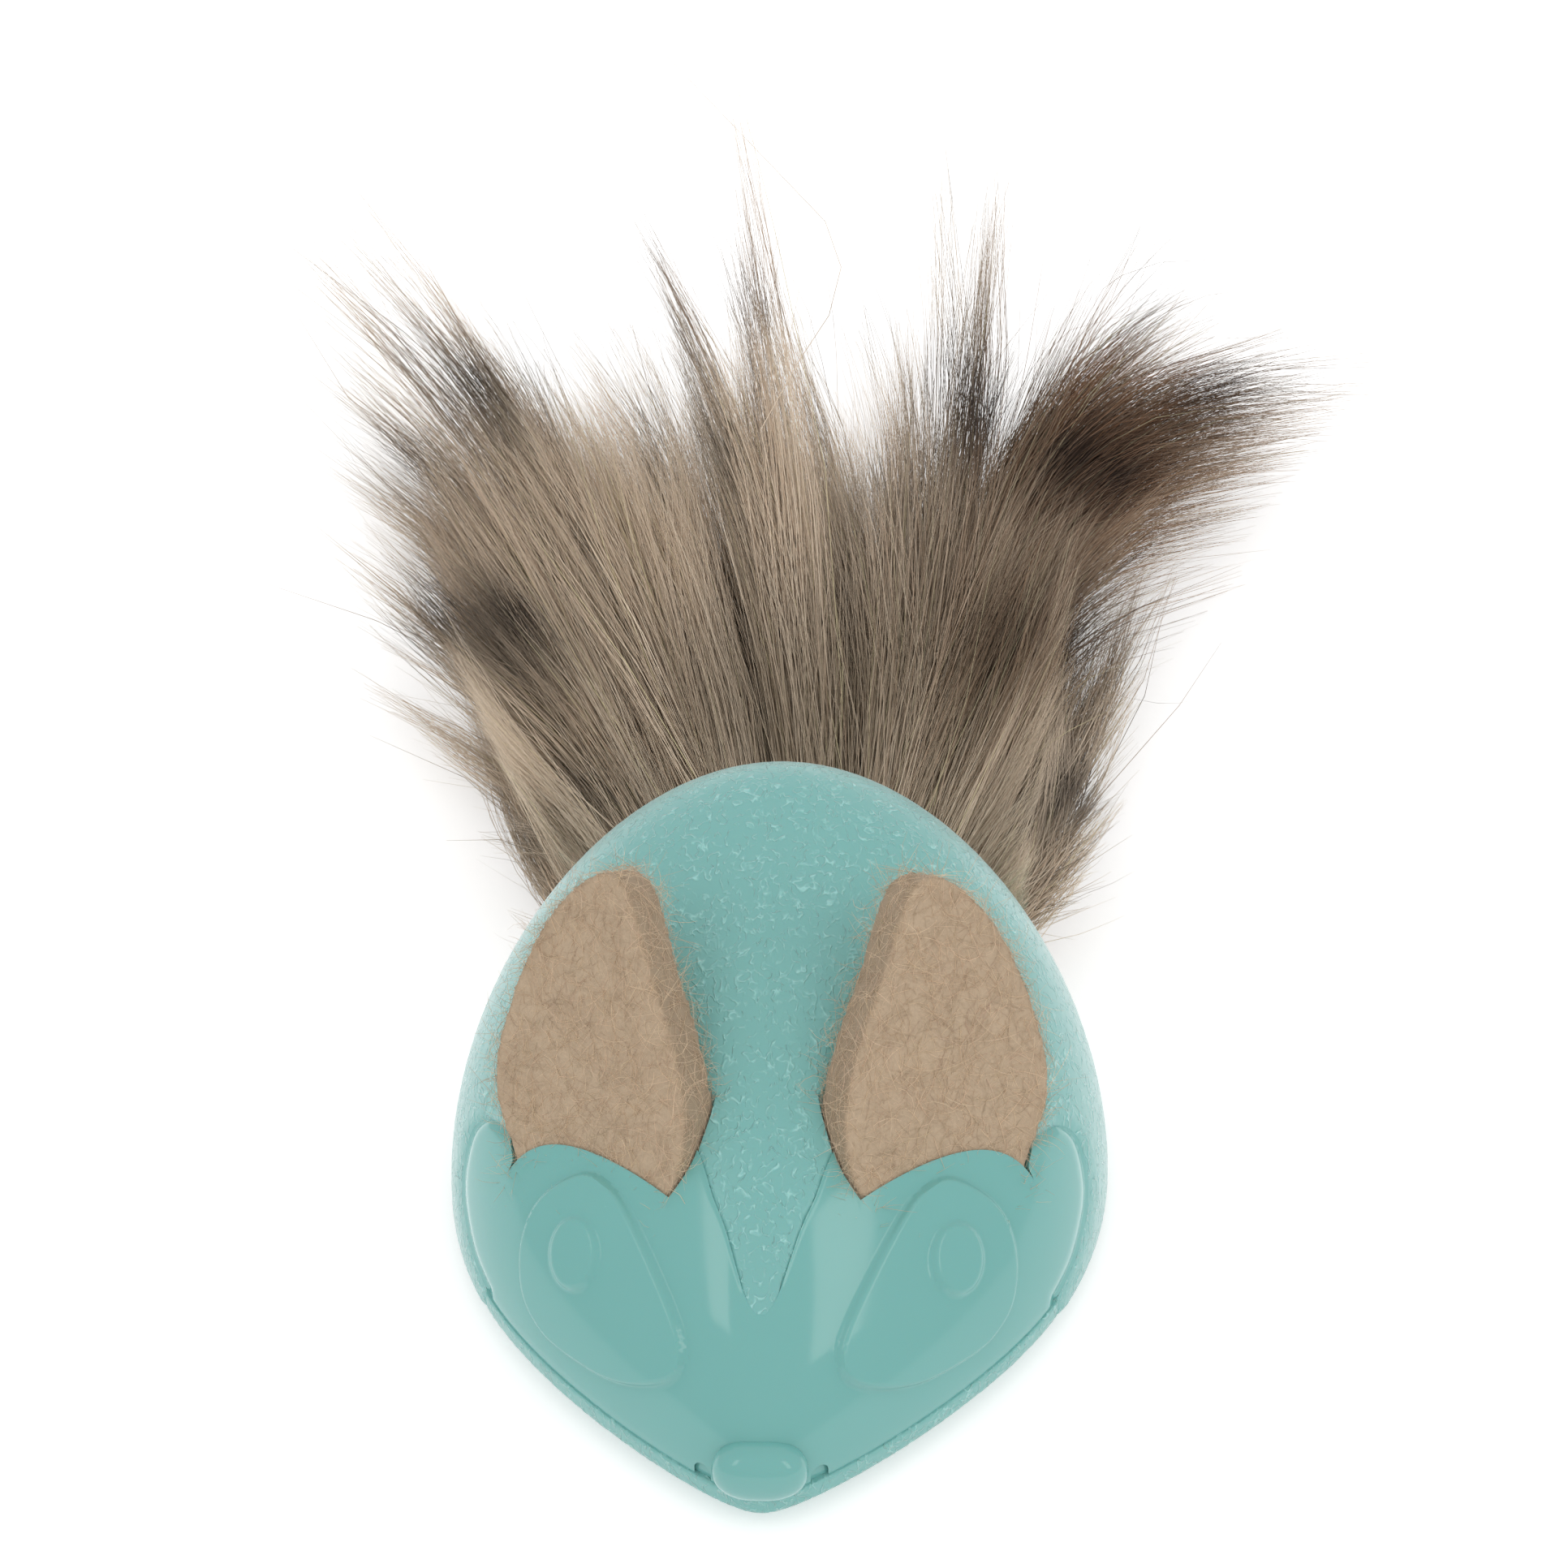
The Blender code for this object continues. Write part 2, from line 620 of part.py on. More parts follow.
def lock_ring(line, share, reach, heights):
    """Corners of one ring of a lock, from its reach to the left and right and its heights at each corner's place."""
    here = line(share)
    ahead = line(share + OUTLINE_STEP) - line(share - OUTLINE_STEP)
    across = Vector((ahead.y, -ahead.x, 0)).normalized()
    ring = []
    for i in range(LOCK_SIDES):
        turn = 2 * math.pi * i / LOCK_SIDES
        place = here + across * reach[math.cos(turn) > 0] * math.cos(turn)
        low, high = heights(place)
        ring.append((place.x, place.y, (low + high) / 2 + (high - low) / 2 * math.sin(turn)))
    return ring


def add_lock(number, lines):
    """One lock of fur: a narrow neck that leaves the strip, then a flat tuft in the upper or the lower layer."""
    line = lines[number]
    length = (line(1) - line(0)).length
    free = LOCK_PARTING_LENGTH / length
    neck_heights = (BACKING_FLOOR, BACKING_FLOOR + 2 * LOCK_NECK_RADIUS)
    rings = []
    for share in (0, LOCK_NECK_LENGTH / length, free):
        reach = [min(side, LOCK_NECK_RADIUS) for side in lock_room(number, line(share), lines, 1)]
        rings.append(lock_ring(
            line, share, reach, lambda place, s=share: neck_heights if s < free else layer_limits(number, place)
        ))
    for way, fullness in LOCK_STEP_SHARES:
        share = free + (1 - free) * way
        room = lock_room(number, line(share), lines, 2)
        reach = [LOCK_TIP_RADIUS + (side - LOCK_TIP_RADIUS) * fullness for side in room]
        rings.append(lock_ring(
            line, share, reach, lambda place, f=fullness: tuft_heights(number, place, f, line(1).z)
        ))

    name = f"fur_lock_{number + 1:02d}"
    bm = bmesh.new()
    loops = [[bm.verts.new(corner) for corner in ring] for ring in rings]
    bm.faces.new(loops[0])
    bm.faces.new(loops[-1])
    for inner, outer in zip(loops, loops[1:]):
        for i in range(LOCK_SIDES):
            bm.faces.new((inner[i - 1], inner[i], outer[i], outer[i - 1]))
    bmesh.ops.triangulate(bm, faces=bm.faces)
    return add_part(name, mesh_from(name, bm), FUR)


def build_body_shell():
    """Upper shell: the whole dome, sunk where the mask lies, open below, with screw bosses and the cup's post."""
    recess = add_cutter("mask_recess", face_prism("mask_recess", mask_outline(GAP), MASK_SIDE_DEPTH - GAP))
    cut(recess, add_cutter("recess_floor", dome_mesh("recess_floor", -RECESS_DROP, OVERRUN)))
    shell = add_part("body_shell", dome_mesh("body_shell"), TEAL_TEXTURED)
    cut(shell, recess)

    hollow = add_cutter("shell_hollow", dome_mesh("shell_hollow", -SHELL_WALL, OVERRUN))
    side, top = HALF_WIDTH + RECESS_MARGIN, MASK_TOP_SHARE * FACE_HEIGHT + RECESS_MARGIN
    frame = [(-side, top), (side, top), (side, -2 * FACE_HEIGHT), (-side, -2 * FACE_HEIGHT)]
    behind = add_cutter("behind_mask", face_prism("behind_mask", frame, RECESS_BACK))
    cut(behind, add_cutter("behind_floor", dome_mesh("behind_floor", -RECESS_DROP - RECESS_WALL, 2 * OVERRUN)))
    cut(hollow, behind)
    cut(shell, hollow)

    upper_limit = add_cutter("boss_limit", dome_mesh("boss_limit", -SHELL_WALL / 2))
    front_limit = add_cutter("front_boss_limit", dome_mesh("front_boss_limit", -RECESS_DROP - RECESS_WALL / 2))
    for name, place in SCREW_PLACES.items():
        boss = add_cylinder_cutter("boss_" + name, BOSS_RADIUS, place, SCREW_PAD_TOP + GAP, BODY_HEIGHT)
        keep_inside(boss, front_limit if name == "front" else upper_limit)
        join(shell, boss)
    post_floor = MARBLE_RADIUS + SOCKET_RADIUS + CUP_WALL + GAP
    post = add_cylinder_cutter("cup_post", POST_RADIUS, (0, 0), post_floor, BODY_HEIGHT)
    keep_inside(post, upper_limit)
    join(shell, post)
    for name, place in SCREW_PLACES.items():
        cut(shell, add_cylinder_cutter("boss_hole_" + name, HOLE_RADIUS, place, 0, BOSS_HOLE_TOP))

    inner, far = -BACKING_SETBACK - BACKING_WIDTH, BODY_WIDTH
    slot = [outline_point(math.pi / 2 + side * TAIL_SLOT_SPREAD, reach) for side, reach in (
        (-1, inner), (-1, far), (1, far), (1, inner))]
    cut(shell, add_cutter("tail_slot", plan_prism("tail_slot", slot, 0, TAIL_SLOT_TOP)))
    cut(shell, add_cutter("lip_space", plan_prism("lip_space", lip_corners(GAP), 0, MASK_BOTTOM)))
    return shell


def lip_corners(grow):
    """The part of the plan where the base reaches out to the body's outline, under the mask."""
    half, far = CHIN_HALF_WIDTH + GAP + grow, 2 * NOSE_REACH
    return [(-half, -far), (half, -far), (half, -LIP_REACH_BACK), (-half, -LIP_REACH_BACK)]


def build_face_mask():
    """Polished mask: flush with the dome, with raised eyes and pupils, a nose, two pegs and its relief notches."""
    mask = add_part("face_mask", dome_mesh("face_mask"), TEAL_POLISHED)
    keep_inside(mask, add_cutter("mask_edge", face_prism("mask_edge", mask_outline(), MASK_SIDE_DEPTH)))
    cut(mask, add_cutter("mask_back", dome_mesh("mask_back", -MASK_THICKNESS, OVERRUN)))

    limits = {
        "eye": add_cutter("eye_limit", dome_mesh("eye_limit", EYE_RELIEF)),
        "pupil": add_cutter("pupil_limit", dome_mesh("pupil_limit", EYE_RELIEF + PUPIL_RELIEF)),
        "peg": add_cutter("peg_limit", dome_mesh("peg_limit", -PAD_ROOT)),
    }
    pad_back = add_cutter("pad_back", dome_mesh("pad_back", -PAD_ROOT))
    for word, side in (("left", -1), ("right", 1)):
        for kind, outline in (("eye", eye_outline(side)), ("pupil", pupil_outline(side))):
            pad = add_cutter(f"{kind}_{word}", face_prism(f"{kind}_{word}", outline, MASK_SIDE_DEPTH))
            keep_inside(pad, limits[kind])
            cut(pad, pad_back)
            join(mask, pad)
        peg = add_cutter("peg_" + word, peg_mesh("peg_" + word, side, PEG_RADIUS, PEG_INNER_END))
        keep_inside(peg, limits["peg"])
        join(mask, peg)

    nose = add_cutter("nose", sphere_mesh("nose", (NOSE_WIDTH, NOSE_DEPTH, NOSE_HEIGHT)))
    nose.location = (0, -NOSE_CENTRE_REACH, NOSE_CENTRE_RISE)
    nose_back = add_cutter("nose_back", dome_mesh("nose_back", -MASK_THICKNESS + PAD_ROOT, OVERRUN))
    cut(nose, nose_back)
    join(mask, nose)
    for word, side in (("left", -1), ("right", 1)):
        cut(mask, add_cutter("notch_" + word, notch_mesh("notch_" + word, side)))
    return mask


def peg_mesh(name, side, radius, inner_end):
    """A round peg behind an eye, along the face plane's normal."""
    turns = [2 * math.pi * i / ROUND_STEPS for i in range(ROUND_STEPS)]
    ring = [
        (side * EYE_CENTRE_SIDE + radius * math.cos(t), radius * math.sin(t) - EYE_CENTRE_DROP)
        for t in turns
    ]
    return face_prism(name, ring, inner_end)


def notch_mesh(name, side):
    """A relief notch with a round top in the mask's lower edge, beside the nose."""
    half = NOTCH_WIDTH / 2
    shoulder = MASK_BOTTOM + NOTCH_HEIGHT - half
    arch = [math.pi * i / (ROUND_STEPS // 2) for i in range(ROUND_STEPS // 2 + 1)]
    profile = [(side * NOTCH_SIDE + half * math.cos(t), shoulder + half * math.sin(t)) for t in arch]
    profile += [(side * NOTCH_SIDE - half, 0), (side * NOTCH_SIDE + half, 0)]
    corners = [Vector((x, -NOSE_REACH - OVERRUN, z)) for x, z in profile]
    return prism_mesh(name, corners, Vector((0, 2 * OVERRUN, 0)))


def plate_mesh(name, grow):
    """A plate in the plan of the body, grown or shrunk."""
    turns = [2 * math.pi * i / AROUND for i in range(AROUND)]
    return plan_prism(name, [outline_point(t, grow) for t in turns], RIM_CLEARANCE, PLATE_TOP)


def build_base():
    """Base plate: closes the body below, holds the marble from beneath and shows as a lip under the mask."""
    front_wall = RECESS_DROP + RECESS_WALL
    base = add_part("base", plate_mesh("base", -front_wall - GAP), TEAL_MATTE)
    split = (RECESS_BACK - PLATE_TOP * math.sin(FACE_TILT)) / math.cos(FACE_TILT) - GAP
    far = 2 * REAR_LENGTH
    rear = add_cutter("rear_plate", plate_mesh("rear_plate", -SHELL_WALL - GAP))
    rear_zone = [(-far, -split), (far, -split), (far, far), (-far, far)]
    keep_inside(rear, add_cutter("rear_zone", plan_prism("rear_zone", rear_zone, 0, BODY_HEIGHT)))
    lip = add_cutter("base_lip", plate_mesh("base_lip", 0))
    keep_inside(lip, add_cutter("lip_zone", plan_prism("lip_zone", lip_corners(0), 0, BODY_HEIGHT)))
    join(base, rear, lip)
    socket_outer = SOCKET_RADIUS + SOCKET_WALL
    join(base, add_cylinder_cutter("socket_ring", socket_outer, (0, 0), RIM_CLEARANCE, SOCKET_TOP))
    for name, place in SCREW_PLACES.items():
        join(base, add_cylinder_cutter("pad_" + name, SCREW_PAD_RADIUS, place, RIM_CLEARANCE, SCREW_PAD_TOP))
    socket = add_cutter("socket", sphere_mesh("socket", [2 * SOCKET_RADIUS] * 3, BALL_STEPS))
    socket.location = (0, 0, MARBLE_RADIUS)
    cut(base, socket)
    head_space = HEAD_INSET + HEAD_HEIGHT + GAP
    for name, place in SCREW_PLACES.items():
        cut(base, add_cylinder_cutter("hole_" + name, HOLE_RADIUS, place, 0, BODY_HEIGHT))
        cut(base, add_cylinder_cutter(
            "head_space_" + name, HEAD_RADIUS + GAP, place, 0, RIM_CLEARANCE + head_space))
    for name, place in CLAMP_SCREW_PLACES.items():
        cut(base, add_cylinder_cutter("clamp_hole_" + name, HOLE_RADIUS, place, 0, BODY_HEIGHT))
    nose_space = add_cutter(
        "nose_space",
        sphere_mesh("nose_space", (NOSE_WIDTH + 2 * GAP, NOSE_DEPTH + 2 * GAP, NOSE_HEIGHT + 2 * GAP)),
    )
    nose_space.location = (0, -NOSE_CENTRE_REACH, NOSE_CENTRE_RISE)
    cut(base, nose_space)
    return base


def build_marble_cup():
    """Cup over the marble: a turned half ball with a flange that sits on the base's socket ring."""
    outer = SOCKET_RADIUS + CUP_WALL
    steps = ROUND_STEPS // 3
    flange_top = MARBLE_RADIUS + CUP_WALL
    low_turn = math.asin(CUP_WALL / outer)
    turns = [math.pi / 2 - (math.pi / 2 - low_turn) * i / steps for i in range(steps + 1)]
    profile = [(outer * math.cos(t), MARBLE_RADIUS + outer * math.sin(t)) for t in turns]
    profile[0] = (0, profile[0][1])
    profile += [(outer + CUP_FLANGE, flange_top), (outer + CUP_FLANGE, MARBLE_RADIUS)]
    inner = [math.pi / 2 * i / steps for i in range(steps + 1)]
    profile += [(SOCKET_RADIUS * math.cos(t), MARBLE_RADIUS + SOCKET_RADIUS * math.sin(t)) for t in inner]
    profile[-1] = (0, profile[-1][1])
    mesh = bpy.data.meshes.new("marble_cup")
    mesh.from_pydata([(x, 0, z) for x, z in profile], [(i, i + 1) for i in range(len(profile) - 1)], [])
    cup = add_part("marble_cup", mesh, WHITE_PLASTIC)
    turn = cup.modifiers.new("turned", "SCREW")
    turn.steps = turn.render_steps = ROUND_STEPS
    turn.use_merge_vertices = True
    turn.merge_threshold = WELD_DISTANCE
    return cup


SCREW_PLACES = {
    "front": (0, FRONT_BOSS_INSET - NOSE_REACH),
    "left": (SIDE_BOSS_INSET - HALF_WIDTH, SIDE_BOSS_SETBACK),
    "right": (HALF_WIDTH - SIDE_BOSS_INSET, SIDE_BOSS_SETBACK),
}
CLAMP_SCREW_PLACES = {
    word: outline_point(math.pi / 2 - side * CLAMP_SCREW_SPREAD, -BACKING_SETBACK - BACKING_WIDTH / 2)
    for word, side in (("left", -1), ("right", 1))
}

body_shell = build_body_shell()
face_mask = build_face_mask()
base = build_base()
marble_cup = build_marble_cup()

marble = add_part("marble", sphere_mesh("marble", [2 * MARBLE_RADIUS] * 3, BALL_STEPS), GLASS)
marble.location = (0, 0, MARBLE_RADIUS)

ear_floor = add_cutter("ear_floor", dome_mesh("ear_floor", -EAR_FOOT_DEPTH, OVERRUN))
for word, side in (("left", -1), ("right", 1)):
    ear = add_part("ear_" + word, ear_mesh("ear_" + word, side), FELT)
    cut(ear, ear_floor)
    slot = add_cutter("ear_slot_" + word, ear_mesh("ear_slot_" + word, side, GAP))
    peg_hole = add_cutter(
        "peg_hole_" + word,
        peg_mesh("peg_hole_" + word, side, PEG_RADIUS + GAP, PEG_INNER_END - OVERRUN),
    )
    cut(body_shell, slot, peg_hole)
    cut(face_mask, slot)
mask_under = [(-HALF_WIDTH, -2 * NOSE_REACH), (HALF_WIDTH, -2 * NOSE_REACH), (HALF_WIDTH, 0), (-HALF_WIDTH, 0)]
mask_floor = add_cutter("mask_floor", plan_prism("mask_floor", mask_under, -OVERRUN, MASK_BOTTOM))
lip_edge = add_cutter("lip_edge", plan_prism(
    "lip_edge",
    [outline_point(2 * math.pi * i / AROUND, GAP) for i in range(AROUND)],
    -OVERRUN, MASK_BOTTOM,
))
keep_inside(mask_floor, lip_edge)
cut(face_mask, mask_floor)

backing = add_part(
    "tail_backing",
    tail_band("tail_backing", BACKING_SETBACK, BACKING_WIDTH, BACKING_FLOOR, BACKING_FLOOR + BACKING_THICKNESS),
    KNIT,
)
clamp = add_part(
    "tail_clamp", tail_band("tail_clamp", BACKING_SETBACK, BACKING_WIDTH, CLAMP_FLOOR, CLAMP_TOP), WHITE_PLASTIC
)
for word, place in CLAMP_SCREW_PLACES.items():
    hole = add_cylinder_cutter("tail_hole_" + word, HOLE_RADIUS, place, 0, BODY_HEIGHT)
    cut(backing, hole)
    cut(clamp, hole)
    clamp_shank = CLAMP_TOP - RIM_CLEARANCE
    add_screw("tail_clamp_screw_" + word, place, CLAMP_TOP + GAP + HEAD_HEIGHT, clamp_shank, False)
for word, place in SCREW_PLACES.items():
    add_screw("base_screw_" + word, place, RIM_CLEARANCE + HEAD_INSET, BASE_SHANK, True)

lock_lines = [lock_line(number) for number in range(len(LOCK_SHARES))]
for number in range(len(LOCK_SHARES)):
    add_lock(number, lock_lines)

# The toy stands with the middle of its whole footprint, tail included, over the origin
bpy.context.view_layer.update()
depsgraph = bpy.context.evaluated_depsgraph_get()
corners = [
    (piece.matrix_world @ Vector(corner))
    for piece in parts.objects
    if piece.type != "EMPTY"
    for corner in piece.evaluated_get(depsgraph).bound_box
]
for axis in (0, 1):
    toy.location[axis] = -(min(c[axis] for c in corners) + max(c[axis] for c in corners)) / 2
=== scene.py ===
"""Finished surfaces of a rolling marble cat toy: textured dome, polished mask, felt ears, fur tail, glass marble.

Sizes and outlines are drawn in the toy's own frame: the origin lies on the floor under the marble's centre and the
nose points to -Y. The face parts are outlined in the face plane, whose axes are x and the height up the plane.
"""

import math

import bmesh
import bpy
import numpy as np
from bpy.props import FloatProperty, FloatVectorProperty, IntProperty, PointerProperty
from bpy.types import Operator, Panel, PropertyGroup
from mathutils import Matrix, Vector, noise


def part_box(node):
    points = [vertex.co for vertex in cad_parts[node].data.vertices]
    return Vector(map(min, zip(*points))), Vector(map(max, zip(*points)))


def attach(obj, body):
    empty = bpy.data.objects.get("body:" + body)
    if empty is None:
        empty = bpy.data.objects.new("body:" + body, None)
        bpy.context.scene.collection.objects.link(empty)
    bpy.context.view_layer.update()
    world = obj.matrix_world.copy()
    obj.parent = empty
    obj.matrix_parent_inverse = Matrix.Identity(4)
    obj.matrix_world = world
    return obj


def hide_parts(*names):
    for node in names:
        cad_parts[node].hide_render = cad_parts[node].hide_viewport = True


bl_info = {
    "name": "Rolling Marble Cat Toy",
    "version": (1, 0, 0),
    "blender": (4, 5, 0),
    "location": "View3D > Sidebar > Cat Toy",
    "description": "Builds the finished surfaces of a rolling marble cat toy over its frame",
    "category": "Add Mesh",
}

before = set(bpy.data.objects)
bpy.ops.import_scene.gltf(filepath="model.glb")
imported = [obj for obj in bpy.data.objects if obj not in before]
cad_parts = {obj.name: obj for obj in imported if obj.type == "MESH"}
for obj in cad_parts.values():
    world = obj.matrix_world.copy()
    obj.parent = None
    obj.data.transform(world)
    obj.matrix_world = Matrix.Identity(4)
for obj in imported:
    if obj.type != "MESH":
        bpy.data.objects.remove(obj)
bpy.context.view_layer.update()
MM = 0.001
MARBLE_LOW, MARBLE_HIGH = (Vector(corner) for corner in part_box("marble"))
PLACE = Vector(((MARBLE_LOW.x + MARBLE_HIGH.x) / 2, (MARBLE_LOW.y + MARBLE_HIGH.y) / 2, 0))
FACE_TILT = math.radians(46)
FACE_RIGHT = Vector((1, 0, 0))
FACE_UP = Vector((0, math.sin(FACE_TILT), math.cos(FACE_TILT)))
FACE_OUT = Vector((0, -math.cos(FACE_TILT), math.sin(FACE_TILT)))

# Right half of the mask's outline from the V between the eyes to the cheek, in shares of the half width and of the
# face height up from the brow
MASK_SHARES = [
    (0.012, -0.5125), (0.05, -0.4475), (0.106, -0.2525), (0.15, -0.1375), (0.2, 0.0075), (0.255, -0.0125),
    (0.32, -0.0325), (0.42, 0.0375), (0.49, 0.0875), (0.565, 0.0975), (0.655, 0.0775), (0.745, 0.0375),
    (0.79, 0.0575), (0.85, 0.0925), (0.905, 0.0525), (0.935, -0.0525), (0.94, -0.1725), (0.905, -0.3475),
    (0.85, -0.4725),
]
EYE_SHARES = [
    (0.1, 0.49), (0.29, 0.42), (0.42, 0.3), (0.485, 0.12), (0.47, -0.08), (0.39, -0.22), (0.26, -0.33),
    (-0.02, -0.46), (-0.24, -0.495), (-0.42, -0.47), (-0.5, -0.39), (-0.49, -0.25), (-0.36, 0.0), (-0.17, 0.3),
    (-0.05, 0.43),
]
EAR_SHARES = [
    (-0.2, -0.28), (-0.26, -0.19), (-0.41, -0.055), (-0.505, 0.09), (-0.54, 0.285), (-0.545, 0.485),
    (-0.525, 0.66), (-0.475, 0.82), (-0.39, 0.95), (-0.295, 1.0), (-0.2, 0.97), (-0.09, 0.87), (0.02, 0.755),
    (0.15, 0.635), (0.265, 0.52), (0.36, 0.4), (0.425, 0.27), (0.46, 0.14), (0.445, -0.06), (0.4, -0.28),
]


def length(name, description, value):
    """A length in metres, from its value in millimetres."""
    return FloatProperty(name=name, description=description, default=value * MM, unit="LENGTH", precision=5)


def turn(name, description, degrees):
    """An angle, from its value in degrees."""
    return FloatProperty(name=name, description=description, default=math.radians(degrees), unit="ROTATION")


def colour(name, description, value):
    """A linear colour."""
    return FloatVectorProperty(name=name, description=description, default=value, size=3, subtype="COLOR", min=0, max=1)


class CatToyBody(PropertyGroup):
    body_width: length("Body width", "Width of the dome at the cheeks", 44.4)
    body_height: length("Body height", "Height of the dome over the floor", 23.6)
    rear_length: length("Rear length", "Reach of the rear ellipse", 25.0)
    cheek_setback: length("Cheek setback", "How far the widest place lies in front of the marble", 2.0)
    nose_reach: length("Nose reach", "Reach of the centre of the nose's round tip", 29.9)
    nose_tip: length("Nose tip", "Radius of the nose's round tip in plan", 2.4)
    cheek_blend: length("Cheek blend", "How softly the cheeks run into the nose", 1.3)
    apex_setback: length("Top setback", "How far the top lies behind the marble", 11.1)
    rim_clearance: length("Rim clearance", "Height of the rim over the floor", 1.5)
    face_fullness: FloatProperty(name="Face fullness", description="Exponent of the profile at the nose", default=1.26)
    rear_fullness: FloatProperty(name="Rear fullness", description="Exponent of the profile at the rump", default=0.81)
    shell_wall: length("Shell wall", "Thickness of the shell", 1.8)
    mask_thickness: length("Mask thickness", "Thickness of the mask", 1.5)
    edge_reach: length("Edge reach", "Width of the rounding on each side of the cheeks' parting line", 0.75)
    edge_drop: length("Edge drop", "Depth of the groove along the cheeks' parting line", 0.32)
    fine_reach: length("Fine reach", "Width of the rounding on each side of the brow's parting line", 0.28)
    fine_drop: length("Fine drop", "Depth of the groove along the brow's parting line", 0.09)
    bead_rise: length("Bead rise", "How far the mask's own edge stands out along the brow", 0.06)
    grain: length("Grain", "Depth of the moulded grain on the textured edges", 0.02)
    plate_thickness: length("Plate thickness", "Thickness of the base plate", 1.3)
    face_height: length("Face height", "Unit of the heights in the face plane", 20.0)
    chin_inset: length("Chin inset", "How far the mask's lower ends lie inside the cheeks", 3.7)
    side_depth: length("Side depth", "Depth of the plane that ends the mask at the cheeks", 9.7)
    shell_colour: colour("Shell colour", "Colour of the textured shell", (0.203, 0.488, 0.463))
    mask_colour: colour("Mask colour", "Colour of the polished mask", (0.182, 0.47, 0.443))
    base_colour: colour("Base colour", "Colour of the base plate", (0.2, 0.49, 0.462))


class CatToyFace(PropertyGroup):
    eye_side: length("Eye side", "Distance of an eye from the middle", 10.6)
    eye_drop: length("Eye drop", "Depth of the eyes below the brow", 8.25)
    eye_width: length("Eye width", "Width of an eye", 11.2)
    eye_height: length("Eye height", "Height of an eye", 13.6)
    eye_relief: length("Eye relief", "How far an eye stands out", 0.5)
    eye_slope: length("Eye slope", "Width of the slope round an eye", 0.42)
    pupil_side: length("Pupil side", "Distance of a pupil from the middle", 12.1)
    pupil_drop: length("Pupil drop", "Depth of the pupils below the brow", 6.75)
    pupil_width: length("Pupil width", "Width of a pupil", 3.1)
    pupil_height: length("Pupil height", "Height of a pupil", 4.5)
    pupil_relief: length("Pupil relief", "How far a pupil stands out of its eye", 0.34)
    nose_width: length("Nose width", "Width of the nose", 6.2)
    nose_height: length("Nose height", "Height of the nose", 4.2)
    nose_depth: length("Nose depth", "Depth of the nose", 3.6)
    nose_sink: length("Nose sink", "How far the nose's centre lies inside the tip", 1.0)
    nose_rise: length("Nose rise", "Height of the nose's centre", 4.85)
    notch_side: length("Notch side", "Distance of a relief notch from the middle", 3.75)
    notch_width: length("Notch width", "Width of a relief notch", 1.1)
    notch_depth: length("Notch depth", "Depth of a relief notch", 0.3)


class CatToyEars(PropertyGroup):
    place_turn: turn("Ear place turn", "Where round the plan an ear stands", -38.4)
    place_rise: turn("Ear place rise", "How high up the dome an ear stands", 37.0)
    yaw: turn("Ear yaw", "How far an ear faces outwards", 40.3)
    lean: turn("Ear lean", "How far an ear leans back", 32.3)
    width: length("Ear width", "Width of an ear", 17.0)
    height: length("Ear height", "Height of an ear", 17.6)
    thickness: length("Ear thickness", "Thickness of the felt", 3.4)
    setback: length("Ear setback", "How far the front of the felt lies behind its place", 0.08)
    foot_depth: length("Foot depth", "How deep an ear reaches into its slot", 2.4)
    fibres: IntProperty(name="Fibres", description="Loose fibres on one ear", default=6400, min=0)
    felt_colour: colour("Felt colour", "Colour of the felt", (0.5, 0.385, 0.27))


class CatToyTail(PropertyGroup):
    spread: turn("Tail spread", "Half of the spread of the strip that carries the pile", 46.0)
    slot_spread: turn("Slot spread", "Half of the spread of the slot in the rump", 49.5)
    slot_rise: length("Slot rise", "Height of the slot over the rim", 5.3)
    backing_setback: length("Backing setback", "How far the strip lies inside the outline", 3.2)
    backing_width: length("Backing width", "Width of the strip", 4.2)
    backing_thickness: length("Backing thickness", "Thickness of the strip", 1.2)
    hair_width: length("Hair width", "Greatest width of a hair", 0.11)
    density: FloatProperty(name="Pile density", description="Hairs for each unit of a tuft's size", default=1.5, min=0)
    root_colour: colour("Root colour", "Colour of the pile at its darkest places", (0.27, 0.205, 0.135))
    pale_colour: colour("Pale hair colour", "Colour of the palest pile", (0.95, 0.8, 0.63))
    brown_colour: colour("Brown hair colour", "Colour of the brown locks", (0.36, 0.19, 0.1))
    straw_colour: colour("Straw hair colour", "Colour of single long hairs", (0.85, 0.75, 0.48))
    dark_colour: colour("Dark hair colour", "Colour of the dark streaks", (0.012, 0.007, 0.007))


class CatToyStage(PropertyGroup):
    lens: FloatProperty(name="Lens", description="Focal length of the camera in millimetres", default=136.82)
    distance: length("Camera distance", "Distance of the camera from the face plane", 400.0)
    lamp_radiance: FloatProperty(name="Lamp radiance", description="Brightness of the soft boxes", default=2.1)
    lamp_distance: length("Lamp distance", "Distance of the soft boxes from the toy", 800.0)
    lamp_colour: colour("Lamp colour", "Colour of the soft boxes", (1.0, 0.93, 0.86))
    world_strength: FloatProperty(name="World strength", description="Strength of the even light", default=0.85)


def body_half_width():
    return bpy.context.scene.cat_toy_body.body_width / 2


